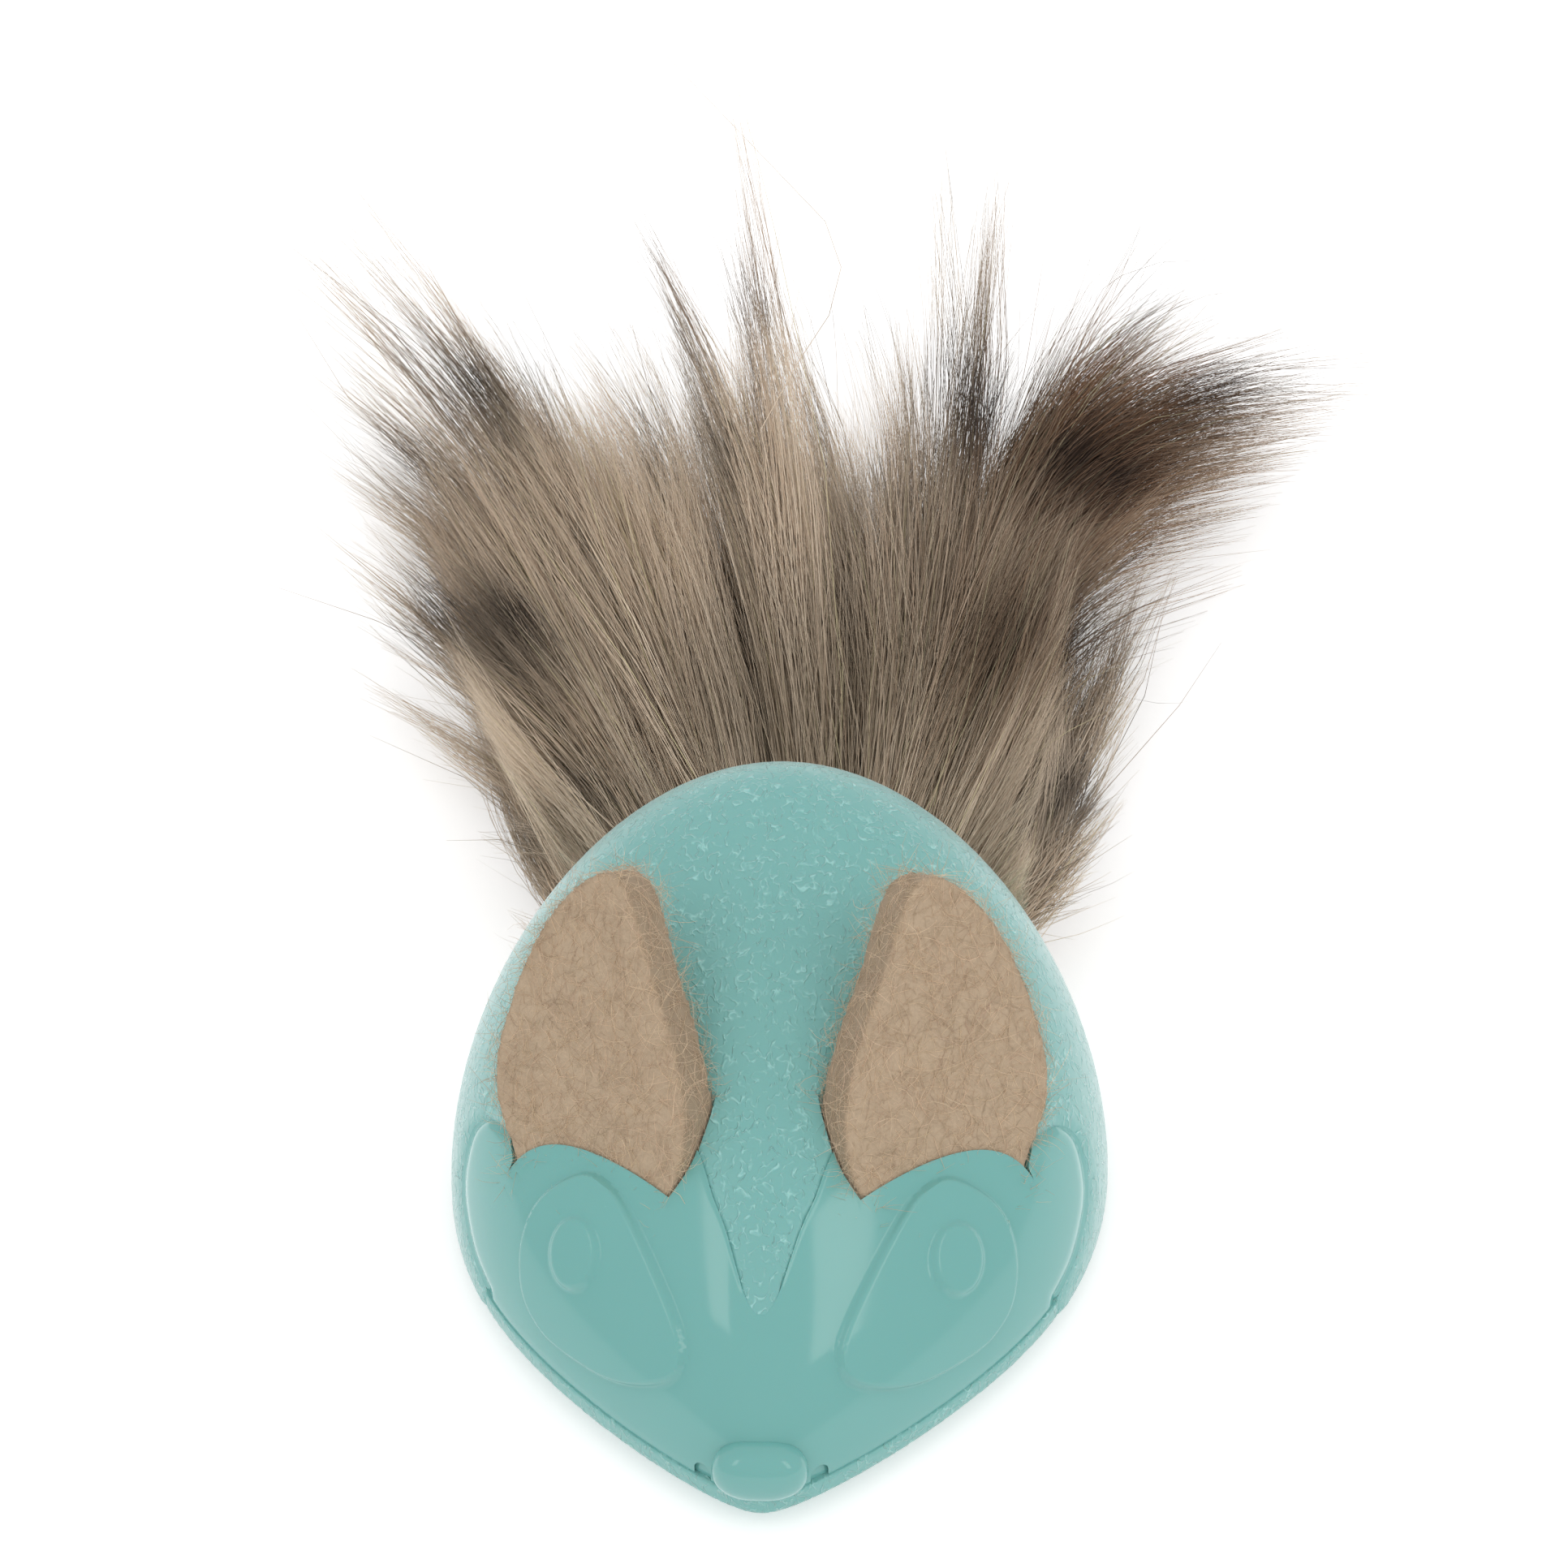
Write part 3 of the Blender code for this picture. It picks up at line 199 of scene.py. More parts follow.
def support(angle, grow):
    """How far the plan outline, grown outwards, reaches along the outward normal at each angle."""
    body = bpy.context.scene.cat_toy_body
    across, along = np.cos(angle), np.sin(angle)
    tip_radius = np.maximum(body.nose_tip + grow, 0.6 * MM)
    tip_reach = body.nose_reach + body.nose_tip + grow - tip_radius
    rear = np.hypot(body_half_width() * across, body.rear_length * along) - body.cheek_setback * along + grow
    nose = tip_radius - tip_reach * along
    return body.cheek_blend * np.logaddexp(rear / body.cheek_blend, nose / body.cheek_blend)


def outline_points(angle, grow=0.0):
    """Points of the plan outline, grown outwards, whose normals have these angles."""
    step = 1e-4
    reach = support(angle, grow)
    slope = (support(angle + step, grow) - support(angle - step, grow)) / (2 * step)
    across, along = np.cos(angle), np.sin(angle)
    return np.stack([reach * across - slope * along, reach * along + slope * across], axis=-1)


def dome_points(angle, rise, grow=0.0):
    """Points of the dome: angle goes round the plan and rise from the rim at zero to the top at a right angle."""
    body = bpy.context.scene.cat_toy_body
    towards_nose = (1 - np.sin(angle)) / 2
    fullness = body.rear_fullness + (body.face_fullness - body.rear_fullness) * towards_nose**2
    share = np.maximum(np.cos(rise), 0.0) ** fullness
    edge = outline_points(angle, grow)
    height = body.rim_clearance + (body.body_height + grow - body.rim_clearance) * np.sin(rise)
    return np.stack([edge[..., 0] * share, edge[..., 1] * share + body.apex_setback * (1 - share), height], axis=-1)


def outline_point(angle, grow=0.0):
    """One point of the plan outline."""
    x, y = outline_points(np.float64(angle), grow)
    return Vector((x, y))


def ear_place(side):
    """The foot of an ear, on the dome."""
    ears = bpy.context.scene.cat_toy_ears
    x, y, z = dome_points(np.float64(ears.place_turn), np.float64(ears.place_rise))
    return Vector((side * x, y, z))


def brow():
    """The level in the face plane from which the mask and the eyes are drawn."""
    return FACE_UP.dot(ear_place(1))


def smooth_outline(points, closed=False, rounds=3):
    """The outline with points added between its own, on the smooth curve through them."""
    points = [tuple(p) for p in points]
    for _ in range(rounds):
        count, smooth = len(points), []
        for i in range(count if closed else count - 1):
            steps = [(i + n) % count if closed else min(max(i + n, 0), count - 1) for n in (-1, 0, 1, 2)]
            before, here, after, beyond = (points[n] for n in steps)
            smooth.append(here)
            smooth.append(tuple((9 * (here[n] + after[n]) - before[n] - beyond[n]) / 16 for n in (0, 1)))
        points = smooth if closed else smooth + [points[-1]]
    return points


def grown_outline(points, grow):
    """A closed outline with each corner moved outwards along its normal."""
    points = np.array(points)
    along = np.roll(points, -1, 0) - np.roll(points, 1, 0)
    along /= np.maximum(np.hypot(along[:, 0], along[:, 1]), 1e-9)[:, None]
    return points + np.stack([along[:, 1], -along[:, 0]], axis=1) * grow


def mask_outline(grow=0.0):
    """The mask in the face plane, up from the brow, carried down past its lower edge."""
    body = bpy.context.scene.cat_toy_body
    half = smooth_outline([(a * body_half_width(), b * body.face_height) for a, b in MASK_SHARES])
    half.append((body_half_width() - body.chin_inset, -2 * body.face_height))
    outline = [(-x, y) for x, y in half[::-1]] + half
    return grown_outline(outline[::-1], grow)


def eye_outline(side):
    """One eye in the face plane."""
    face = bpy.context.scene.cat_toy_face
    return smooth_outline(
        [(side * (face.eye_side + a * face.eye_width), b * face.eye_height - face.eye_drop) for a, b in EYE_SHARES],
        closed=True,
    )


def pupil_outline(side):
    """One pupil in the face plane, an ellipse."""
    face = bpy.context.scene.cat_toy_face
    turns = np.linspace(0, 2 * math.pi, 96, endpoint=False)
    return np.stack([
        side * face.pupil_side + face.pupil_width / 2 * np.cos(turns),
        face.pupil_height / 2 * np.sin(turns) - face.pupil_drop,
    ], axis=1)


def signed_distance(points, outline):
    """Distance of plane points from a closed outline, negative inside and cut off a little way outside."""
    start = np.asarray(outline, dtype=float)
    run = np.roll(start, -1, 0) - start
    far = 2 * MM
    result = np.full(len(points), far)
    close = np.nonzero(((points > start.min(0) - far) & (points < start.max(0) + far)).all(1))[0]
    for first in range(0, len(close), 4096):
        chosen = close[first:first + 4096]
        rel = points[chosen, None, :] - start
        share = np.clip((rel * run).sum(2) / (run**2).sum(1), 0, 1)
        away = rel - share[..., None] * run
        gap = np.sqrt((away**2).sum(2)).min(1)
        above = rel[..., 1] < 0
        with np.errstate(divide="ignore", invalid="ignore"):
            crossing = (above != (rel[..., 1] < run[:, 1])) & (rel[..., 0] < run[:, 0] * rel[..., 1] / run[:, 1])
        result[chosen] = np.where(crossing.sum(1) % 2 == 1, -gap, gap)
    return result


def rising(share):
    """A smooth step from zero to one."""
    share = np.clip(share, 0, 1)
    return share * share * (3 - 2 * share)


def face_coordinates(points):
    """Places of points in the face plane: across, and up from the brow."""
    up = points[:, 1] * FACE_UP.y + points[:, 2] * FACE_UP.z - brow()
    return np.stack([points[:, 0], up], axis=1)


def coordinates(mesh):
    """The mesh's vertices as an array."""
    flat = np.empty(len(mesh.vertices) * 3)
    mesh.vertices.foreach_get("co", flat)
    return flat.reshape(-1, 3)


def set_coordinates(mesh, points):
    """Puts the mesh's vertices in these places."""
    mesh.vertices.foreach_set("co", np.ascontiguousarray(points, dtype=np.float32).ravel())
    mesh.update()


def add_object(name, mesh, material=None):
    """An object in the scene, still in the toy's own frame."""
    made = bpy.data.objects.new(name, mesh)
    bpy.context.scene.collection.objects.link(made)
    if material:
        mesh.materials.clear()
        mesh.materials.append(material)
    return made


def finish_piece(piece, node, body="body", sharp=35):
    """Moves a piece's mesh into the frame, shades it and lets it stand for its node on its body."""
    piece.data.transform(Matrix.Translation(PLACE))
    piece.data.shade_smooth()
    if sharp:
        piece.data.set_sharp_from_angle(angle=math.radians(sharp))
    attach(piece, body)
    if node:
        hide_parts(*([node] if isinstance(node, str) else node))
    return piece


def mesh_from(name, bm):
    """Turns a bmesh into a mesh with its faces pointing out."""
    bmesh.ops.recalc_face_normals(bm, faces=bm.faces)
    mesh = bpy.data.meshes.new(name)
    bm.to_mesh(mesh)
    bm.free()
    return mesh


def unit_dome(around, rings):
    """The upper half of a unit sphere, drawn up ring by ring from its rim."""
    bm = bmesh.new()
    bmesh.ops.create_circle(bm, segments=around, radius=1)
    edges = list(bm.edges)
    for ring in range(1, rings):
        low, high = (math.pi / 2 * n / rings for n in (ring - 1, ring))
        drawn = bmesh.ops.extrude_edge_only(bm, edges=edges)["geom"]
        edges = [g for g in drawn if isinstance(g, bmesh.types.BMEdge)]
        verts = [g for g in drawn if isinstance(g, bmesh.types.BMVert)]
        narrower = math.cos(high) / math.cos(low)
        bmesh.ops.scale(bm, verts=verts, vec=(narrower, narrower, 1))
        bmesh.ops.translate(bm, verts=verts, vec=(0, 0, math.sin(high) - math.sin(low)))
    cap = bmesh.ops.holes_fill(bm, edges=edges)["faces"]
    pole = bmesh.ops.poke(bm, faces=cap)["verts"]
    bmesh.ops.translate(bm, verts=pole, vec=(0, 0, 1 - pole[0].co.z))
    return bm


def close_dome(bm, skirt=0.0):
    """Carries the dome's rim down and closes it."""
    rim = [e for e in bm.edges if e.is_boundary]
    if skirt:
        lower = bmesh.ops.extrude_edge_only(bm, edges=rim)["geom"]
        bmesh.ops.translate(bm, verts=[g for g in lower if isinstance(g, bmesh.types.BMVert)], vec=(0, 0, -skirt))
    bmesh.ops.holes_fill(bm, edges=[e for e in bm.edges if e.is_boundary])


def shape_dome(bm, grow=0.0, relief=None):
    """Gives a half sphere the toy's shape, with a relief that depends on the place on the dome."""
    unit = np.array([v.co[:] for v in bm.verts])
    unit[:, 2] = np.maximum(unit[:, 2], 0)
    angle, rise = np.arctan2(unit[:, 1], unit[:, 0]), np.arcsin(np.clip(unit[:, 2], 0, 1))
    points = dome_points(angle, rise, grow)
    if relief:
        step = 1e-4
        round_plan = dome_points(angle + step, rise, grow) - points
        towards_top = points - dome_points(angle, rise - step, grow)
        normal = np.cross(round_plan, towards_top)
        size = np.linalg.norm(normal, axis=1)[:, None]
        normal = np.where(size > 1e-16, normal / np.maximum(size, 1e-16), (0, 0, 1))
        points = points + normal * relief(points)[:, None]
    for vert, point in zip(bm.verts, points):
        vert.co = point


def dome_mesh(name, grow=0.0, skirt=0.0, around=160, rings=36):
    """The dome as one closed solid."""
    bm = unit_dome(around, rings)
    shape_dome(bm, grow)
    close_dome(bm, skirt)
    return mesh_from(name, bm)


def prism_mesh(name, corners, direction):
    """A closed outline of corners swept along a direction."""
    bm = bmesh.new()
    face = bm.faces.new([bm.verts.new(corner) for corner in corners])
    swept = bmesh.ops.extrude_face_region(bm, geom=[face])["geom"]
    bmesh.ops.translate(bm, verts=[g for g in swept if isinstance(g, bmesh.types.BMVert)], vec=direction)
    return mesh_from(name, bm)


def plan_prism(name, points, floor, top):
    """A plan outline raised from one height to another."""
    return prism_mesh(name, [Vector((p[0], p[1], floor)) for p in points], Vector((0, 0, top - floor)))


def face_prism(name, points, near, far=45 * MM):
    """An outline in the face plane, swept outwards from one depth to another."""
    level = brow()
    corners = [FACE_RIGHT * p[0] + FACE_UP * (level + p[1]) + FACE_OUT * near for p in points]
    return prism_mesh(name, corners, FACE_OUT * (far - near))


def round_mesh(name, radius, floor, top, place=(0, 0), segments=64):
    """An upright cylinder."""
    bm = bmesh.new()
    bmesh.ops.create_cone(
        bm, cap_ends=True, segments=segments, radius1=radius, radius2=radius, depth=top - floor,
        matrix=Matrix.Translation((place[0], place[1], (floor + top) / 2)),
    )
    return mesh_from(name, bm)


def egg_mesh(name, size, place, segments=64, boxiness=0.0):
    """An egg with three diameters, squarer with more boxiness."""
    bm = bmesh.new()
    bmesh.ops.create_uvsphere(bm, u_segments=segments, v_segments=segments // 2, radius=0.5)
    for vert in bm.verts:
        vert.co = [math.copysign(abs(2 * c) ** (1 - boxiness) / 2, c) for c in vert.co]
    bmesh.ops.scale(bm, verts=bm.verts, vec=size)
    bmesh.ops.translate(bm, verts=bm.verts, vec=place)
    return mesh_from(name, bm)


def carve(mesh, *steps):
    """Applies Boolean steps, each an operation and a mesh, and returns the new mesh."""
    work = add_object(mesh.name, mesh)
    helpers = []
    for operation, other in steps:
        helper = add_object("cutter", other)
        helpers.append(helper)
        step = work.modifiers.new("carve", "BOOLEAN")
        step.operation = operation
        step.object = helper
        step.solver = "MANIFOLD"
    bpy.context.view_layer.update()
    result = bpy.data.meshes.new_from_object(work.evaluated_get(bpy.context.evaluated_depsgraph_get()))
    for helper in [work] + helpers:
        old = helper.data
        bpy.data.objects.remove(helper)
        bpy.data.meshes.remove(old)
    return result


class Shading:
    """Adds nodes to one node tree and links them."""

    def __init__(self, tree):
        self.tree = tree

    def add(self, kind, settings=None, **inputs):
        """A node with its settings and its inputs, each a value or another node's output."""
        node = self.tree.nodes.new(kind)
        for key, value in (settings or {}).items():
            setattr(node, key, value)
        for key, value in inputs.items():
            self.give(node, key.replace("_", " "), value)
        return node

    def give(self, node, name, value):
        """Sets or links one input, which is named without regard to case."""
        socket = next(s for s in node.inputs if s.name.lower() == name.lower() and s.enabled)
        if isinstance(value, bpy.types.NodeSocket):
            self.tree.links.new(value, socket)
        else:
            socket.default_value = value

    def object_place(self):
        """Object coordinates, centred on the toy."""
        return self.add("ShaderNodeTexCoord").outputs["Object"]

    def ramp(self, value, *stops):
        """A colour ramp with grey stops, each a place and a value."""
        node = self.add("ShaderNodeValToRGB", Fac=value)
        elements = node.color_ramp.elements
        while len(elements) < len(stops):
            elements.new(0.5)
        for element, (place, grey) in zip(elements, stops):
            element.position = place
            element.color = (grey, grey, grey, 1)
        return node.outputs["Color"]

    def math(self, operation, first, second=0.0):
        """One sum."""
        node = self.tree.nodes.new("ShaderNodeMath")
        node.operation = operation
        for socket, value in zip(node.inputs, (first, second)):
            if isinstance(value, bpy.types.NodeSocket):
                self.tree.links.new(value, socket)
            else:
                socket.default_value = value
        return node.outputs[0]

    def vector(self, operation, first, second=None, **inputs):
        """One step on a vector."""
        node = self.add("ShaderNodeVectorMath", {"operation": operation}, **inputs)
        for socket, value in zip(node.inputs, (first, second)):
            if isinstance(value, bpy.types.NodeSocket):
                self.tree.links.new(value, socket)
            elif value is not None:
                socket.default_value = value
        return node.outputs[0]

    def mix(self, factor, first, second):
        """A mix of two colours."""
        node = self.tree.nodes.new("ShaderNodeMix")
        node.data_type = "RGBA"
        for socket, value in zip((node.inputs[0], node.inputs[6], node.inputs[7]), (factor, first, second)):
            if isinstance(value, bpy.types.NodeSocket):
                self.tree.links.new(value, socket)
            elif socket == node.inputs[0]:
                socket.default_value = value
            else:
                socket.default_value = (*value, 1)
        return node.outputs[2]

    def bump(self, height, distance, strength=1.0, normal=None):
        """A bump from a height."""
        node = self.add("ShaderNodeBump", Strength=strength, Distance=distance, Height=height)
        if normal is not None:
            self.give(node, "Normal", normal)
        return node.outputs["Normal"]


def new_material(name, **inputs):
    """A material and the shading of its nodes, with the Principled inputs that stay the same all over."""
    made = bpy.data.materials.new(name)
    made.use_nodes = True
    principled = made.node_tree.nodes["Principled BSDF"]
    shading = Shading(made.node_tree)
    for key, value in inputs.items():
        shading.give(principled, key.replace("_", " "), value)
    return made, shading, principled


def grain_group():
    """Moulded leather grain: short raised squiggles that run up the face, as a height and a mask of their tops."""
    tree = bpy.data.node_groups.get("moulded_grain")
    if tree:
        return tree
    tree = bpy.data.node_groups.new("moulded_grain", "ShaderNodeTree")
    tree.interface.new_socket("Vector", in_out="INPUT", socket_type="NodeSocketVector")
    cell = tree.interface.new_socket("Cell", in_out="INPUT", socket_type="NodeSocketFloat")
    cell.default_value = 0.0005
    for name in ("Height", "Tops"):
        tree.interface.new_socket(name, in_out="OUTPUT", socket_type="NodeSocketFloat")
    shading = Shading(tree)
    start = shading.add("NodeGroupInput")
    scale = shading.math("DIVIDE", 1.0, start.outputs["Cell"])
    bend = shading.add(
        "ShaderNodeTexNoise", Vector=start.outputs["Vector"], Scale=shading.math("MULTIPLY", scale, 0.3),
        Detail=2.0, Roughness=0.5)
    shift = shading.vector("SUBTRACT", bend.outputs["Color"], (0.5, 0.5, 0.5))
    sized = shading.vector("SCALE", shift, Scale=shading.math("MULTIPLY", start.outputs["Cell"], 3.0))
    moved = shading.vector("ADD", start.outputs["Vector"], sized)
    squeezed = shading.vector("MULTIPLY", moved, (1.0, 0.6, 0.6))
    folds = shading.add("ShaderNodeTexNoise", Vector=squeezed, Scale=scale, Detail=1.0, Roughness=0.4)
    pebbles = shading.add(
        "ShaderNodeTexNoise", Vector=moved, Scale=shading.math("MULTIPLY", scale, 0.9), Detail=2.0, Roughness=0.6)
    level = shading.math("ABSOLUTE", shading.math("SUBTRACT", folds.outputs["Fac"], 0.5))
    worms = shading.ramp(level, (0.0, 1.0), (0.09, 0.0))
    uneven = shading.ramp(pebbles.outputs["Fac"], (0.4, 0.0), (0.6, 1.0))
    height = shading.math("MULTIPLY", worms, uneven)
    tops = shading.math("MULTIPLY", shading.ramp(level, (0.0, 1.0), (0.045, 0.0)), uneven)
    end = shading.add("NodeGroupOutput")
    tree.links.new(height, end.inputs["Height"])
    tree.links.new(tops, end.inputs["Tops"])
    return tree


def wear_group():
    """Soft uneven tone and tiny specks on moulded plastic, as a tone from 0 to 1 and a mask of specks."""
    tree = bpy.data.node_groups.get("plastic_tone")
    if tree:
        return tree
    tree = bpy.data.node_groups.new("plastic_tone", "ShaderNodeTree")
    tree.interface.new_socket("Vector", in_out="INPUT", socket_type="NodeSocketVector")
    for name in ("Tone", "Specks"):
        tree.interface.new_socket(name, in_out="OUTPUT", socket_type="NodeSocketFloat")
    shading = Shading(tree)
    start = shading.add("NodeGroupInput")
    broad = shading.add(
        "ShaderNodeTexNoise", Vector=start.outputs["Vector"], Scale=90.0, Detail=3.0, Roughness=0.55)
    fine = shading.add(
        "ShaderNodeTexNoise", Vector=start.outputs["Vector"], Scale=2600.0, Detail=2.0, Roughness=0.6)
    end = shading.add("NodeGroupOutput")
    tree.links.new(broad.outputs["Fac"], end.inputs["Tone"])
    tree.links.new(shading.ramp(fine.outputs["Fac"], (0.68, 0.0), (0.78, 1.0)), end.inputs["Specks"])
    return tree


def place_group(shading, tree, **inputs):
    """One use of a node group."""
    node = shading.tree.nodes.new("ShaderNodeGroup")
    node.node_tree = tree
    for key, value in inputs.items():
        shading.give(node, key, value)
    return node


def grained_material(name, colour_here, cell, depth, roughness):
    """Teal plastic with moulded leather grain, and painted glints: the grain's tops are painted paler, as if they catch
    the light.
    """
    made, shading, principled = new_material(
        name, IOR=1.47, Subsurface_Weight=0.08, Subsurface_Scale=0.002, Sheen_Weight=0.42, Sheen_Roughness=0.4)
    where = shading.object_place()
    grain = place_group(shading, grain_group(), Vector=where, Cell=cell)
    tone = place_group(shading, wear_group(), Vector=where)
    shade = shading.mix(tone.outputs["Tone"], [c * 0.97 for c in colour_here], [min(c * 1.03, 1) for c in colour_here])
    # Painted highlight: the grain's tops are painted paler, a painted glint where the raised squiggles would catch the
    # lamps.
    lit = shading.mix(grain.outputs["Tops"], shade, [min(c * 1.2 + 0.12, 1) for c in colour_here])
    shading.give(principled, "Base Color", lit)
    rough = shading.math("ADD", shading.math("MULTIPLY", grain.outputs["Tops"], -0.12), roughness)
    shading.give(principled, "Roughness", rough)
    shading.give(principled, "Normal", shading.bump(grain.outputs["Height"], depth))
    return made


def shell_material():
    """The dome's textured plastic."""
    return grained_material("textured_teal", tuple(bpy.context.scene.cat_toy_body.shell_colour), 0.00055, 0.00006, 0.3)


def base_material():
    """The base's finer textured plastic."""
    return grained_material("base_teal", tuple(bpy.context.scene.cat_toy_body.base_colour), 0.0005, 0.00006, 0.36)


def polished_material(name, colour_here, roughness):
    """Polished teal plastic with a faint unevenness."""
    made, shading, principled = new_material(name, IOR=1.47, Subsurface_Weight=0.08, Subsurface_Scale=0.002)
    where = shading.object_place()
    tone = place_group(shading, wear_group(), Vector=where)
    shading.give(principled, "Base Color", shading.mix(
        tone.outputs["Tone"], [c * 0.975 for c in colour_here], [min(c * 1.025, 1) for c in colour_here]))
    shading.give(principled, "Roughness", shading.math(
        "ADD", shading.math("MULTIPLY", tone.outputs["Specks"], 0.18), roughness))
    waves = shading.add("ShaderNodeTexNoise", Vector=where, Scale=260.0, Detail=2.0, Roughness=0.4)
    shading.give(principled, "Normal", shading.bump(waves.outputs["Fac"], 0.00002, 0.5))
    return made


def felt_material(name, attribute=None):
    """Wool felt: matted fibres over a broad unevenness, with painted shade on the cut edge."""
    colour_here = tuple(bpy.context.scene.cat_toy_ears.felt_colour)
    made, shading, principled = new_material(
        name, Roughness=0.95, Specular_IOR_Level=0.1, Sheen_Weight=0.15, Sheen_Roughness=0.5)
    where = shading.object_place()
    if attribute:
        tint = shading.add("ShaderNodeAttribute", {"attribute_name": attribute})
        shading.give(principled, "Base Color", tint.outputs["Color"])
        return made
    matted = shading.add("ShaderNodeTexNoise", Vector=where, Scale=2200.0, Detail=5.0, Roughness=0.75, Distortion=2.0)
    broad = shading.add("ShaderNodeTexNoise", Vector=where, Scale=260.0, Detail=3.0, Roughness=0.6)
    deep = shading.mix(broad.outputs["Fac"], [c * 0.84 for c in colour_here], [min(c * 1.06, 1) for c in colour_here])
    fibres = shading.ramp(matted.outputs["Fac"], (0.35, 0.0), (0.7, 1.0))
    front = shading.mix(fibres, deep, [min(c * 1.2, 1) for c in colour_here])
    # Painted shade: the cut edge, whose faces look along the ear's plane, is painted darker as if it turned away from
    # the light.
    cut = shading.add("ShaderNodeAttribute", {"attribute_name": "edge_shade"}).outputs["Fac"]
    shading.give(principled, "Base Color", shading.mix(cut, front, [c * 0.8 for c in colour_here]))
    shading.give(principled, "Normal", shading.bump(matted.outputs["Fac"], 0.00005, 0.9))
    return made


def hair_material():
    """Synthetic fur whose colour runs along each hair."""
    made, shading, principled = new_material("fur", Roughness=0.5, Specular_IOR_Level=0.2)
    tint = shading.add("ShaderNodeAttribute", {"attribute_name": "tint"})
    shading.give(principled, "Base Color", tint.outputs["Color"])
    return made


def white_plastic_material():
    """Plain white moulded plastic."""
    made, shading, principled = new_material("white_plastic", IOR=1.46)
    where = shading.object_place()
    tone = place_group(shading, wear_group(), Vector=where)
    shading.give(principled, "Base Color", shading.mix(tone.outputs["Tone"], (0.74, 0.74, 0.71), (0.8, 0.8, 0.78)))
    uneven = shading.math("MULTIPLY", tone.outputs["Tone"], 0.15)
    shading.give(principled, "Roughness", shading.math("ADD", uneven, 0.3))
    fine = shading.add("ShaderNodeTexNoise", Vector=where, Scale=1800.0, Detail=2.0)
    shading.give(principled, "Normal", shading.bump(fine.outputs["Fac"], 0.00002, 0.5))
    return made


def steel_material():
    """Zinc-plated screw steel with fine drawn marks."""
    made, shading, principled = new_material("screw_steel", Metallic=1.0)
    where = shading.object_place()
    marks = shading.add("ShaderNodeTexNoise", Vector=where, Scale=2200.0, Detail=4.0, Roughness=0.7, Distortion=0.6)
    shading.give(principled, "Base Color", shading.mix(marks.outputs["Fac"], (0.5, 0.5, 0.52), (0.68, 0.68, 0.7)))
    marked = shading.math("MULTIPLY", marks.outputs["Fac"], 0.25)
    shading.give(principled, "Roughness", shading.math("ADD", marked, 0.2))
    shading.give(principled, "Normal", shading.bump(marks.outputs["Fac"], 0.00001, 0.6))
    return made


def glass_material():
    """Clear greenish marble glass."""
    made, shading, principled = new_material(
        "marble_glass", Base_Color=(0.75, 0.93, 0.9, 1), Roughness=0.02, IOR=1.52, Transmission_Weight=1.0)
    where = shading.object_place()
    waves = shading.add("ShaderNodeTexNoise", Vector=where, Scale=320.0, Detail=1.0)
    shading.give(principled, "Normal", shading.bump(waves.outputs["Fac"], 0.00001, 0.4))
    return made


def vane_material():
    """The coloured glass ribbon inside the marble."""
    made, shading, principled = new_material("marble_ribbon", Roughness=0.25, IOR=1.52)
    where = shading.object_place()
    streaks = shading.add("ShaderNodeTexNoise", Vector=where, Scale=420.0, Detail=3.0, Distortion=0.8)
    shading.give(principled, "Base Color", shading.mix(streaks.outputs["Fac"], (0.02, 0.2, 0.28), (0.75, 0.83, 0.8)))
    return made


def knit_material():
    """The pile's knit backing, in rows of small loops, with painted shade in the hollows between them."""
    made, shading, principled = new_material("knit_backing", Roughness=0.9, Sheen_Weight=0.2)
    where = shading.object_place()
    rows = shading.add("ShaderNodeTexWave", {"wave_type": "BANDS", "bands_direction": "Y"}, Vector=where, Scale=420.0)
    loops = shading.add("ShaderNodeTexWave", {"wave_type": "BANDS", "bands_direction": "X"}, Vector=where, Scale=420.0)
    height = shading.math("MULTIPLY", rows.outputs["Fac"], loops.outputs["Fac"])
    # Painted shade: the low places between the loops are painted darker than the loops' tops.
    shading.give(principled, "Base Color", shading.mix(height, (0.2, 0.17, 0.13), (0.4, 0.35, 0.29)))
    shading.give(principled, "Normal", shading.bump(height, 0.0002, 0.8))
    return made


def face_relief(where):
    """How far the mask stands out of the dome at places in the face plane."""
    face = bpy.context.scene.cat_toy_face
    relief = np.zeros(len(where))
    for side in (-1, 1):
        eye = signed_distance(where, eye_outline(side))
        relief += face.eye_relief * rising(0.5 - eye / face.eye_slope)
        pupil = signed_distance(where, pupil_outline(side))
        relief += face.pupil_relief * rising(0.5 - pupil / face.eye_slope)
    return relief


def seam_groove(points, fine_drop=None):
    """The rounded groove along the parting line: wide at the cheeks, fine at the brow, and gone at the V's tip."""
    body = bpy.context.scene.cat_toy_body
    fine_drop = body.fine_drop if fine_drop is None else fine_drop
    where = face_coordinates(points)
    near = np.abs(signed_distance(where, mask_outline()))
    side = np.abs(where[:, 0]) / body_half_width()
    wide = rising((side - 0.5) / 0.3)
    reach = body.fine_reach + (body.edge_reach - body.fine_reach) * wide
    drop = fine_drop + (body.edge_drop - fine_drop) * wide
    drop *= rising((side - 0.03) / 0.04) * (points[:, 1] < body.side_depth)
    return -drop * np.clip(1 - near / reach, 0, 1) ** 2


def mask_relief(points):
    """How far the mask stands out of the dome: its eyes and pupils, its parting groove and its soft lower edge."""
    soft = 0.8 * MM
    low = np.clip(1 - (points[:, 2] - mask_floor_height()) / soft, 0, 1)
    edge = seam_groove(points, -bpy.context.scene.cat_toy_body.bead_rise)
    return face_relief(face_coordinates(points)) + np.where(low > 0, np.minimum(edge, -0.11 * soft * low**2), edge)


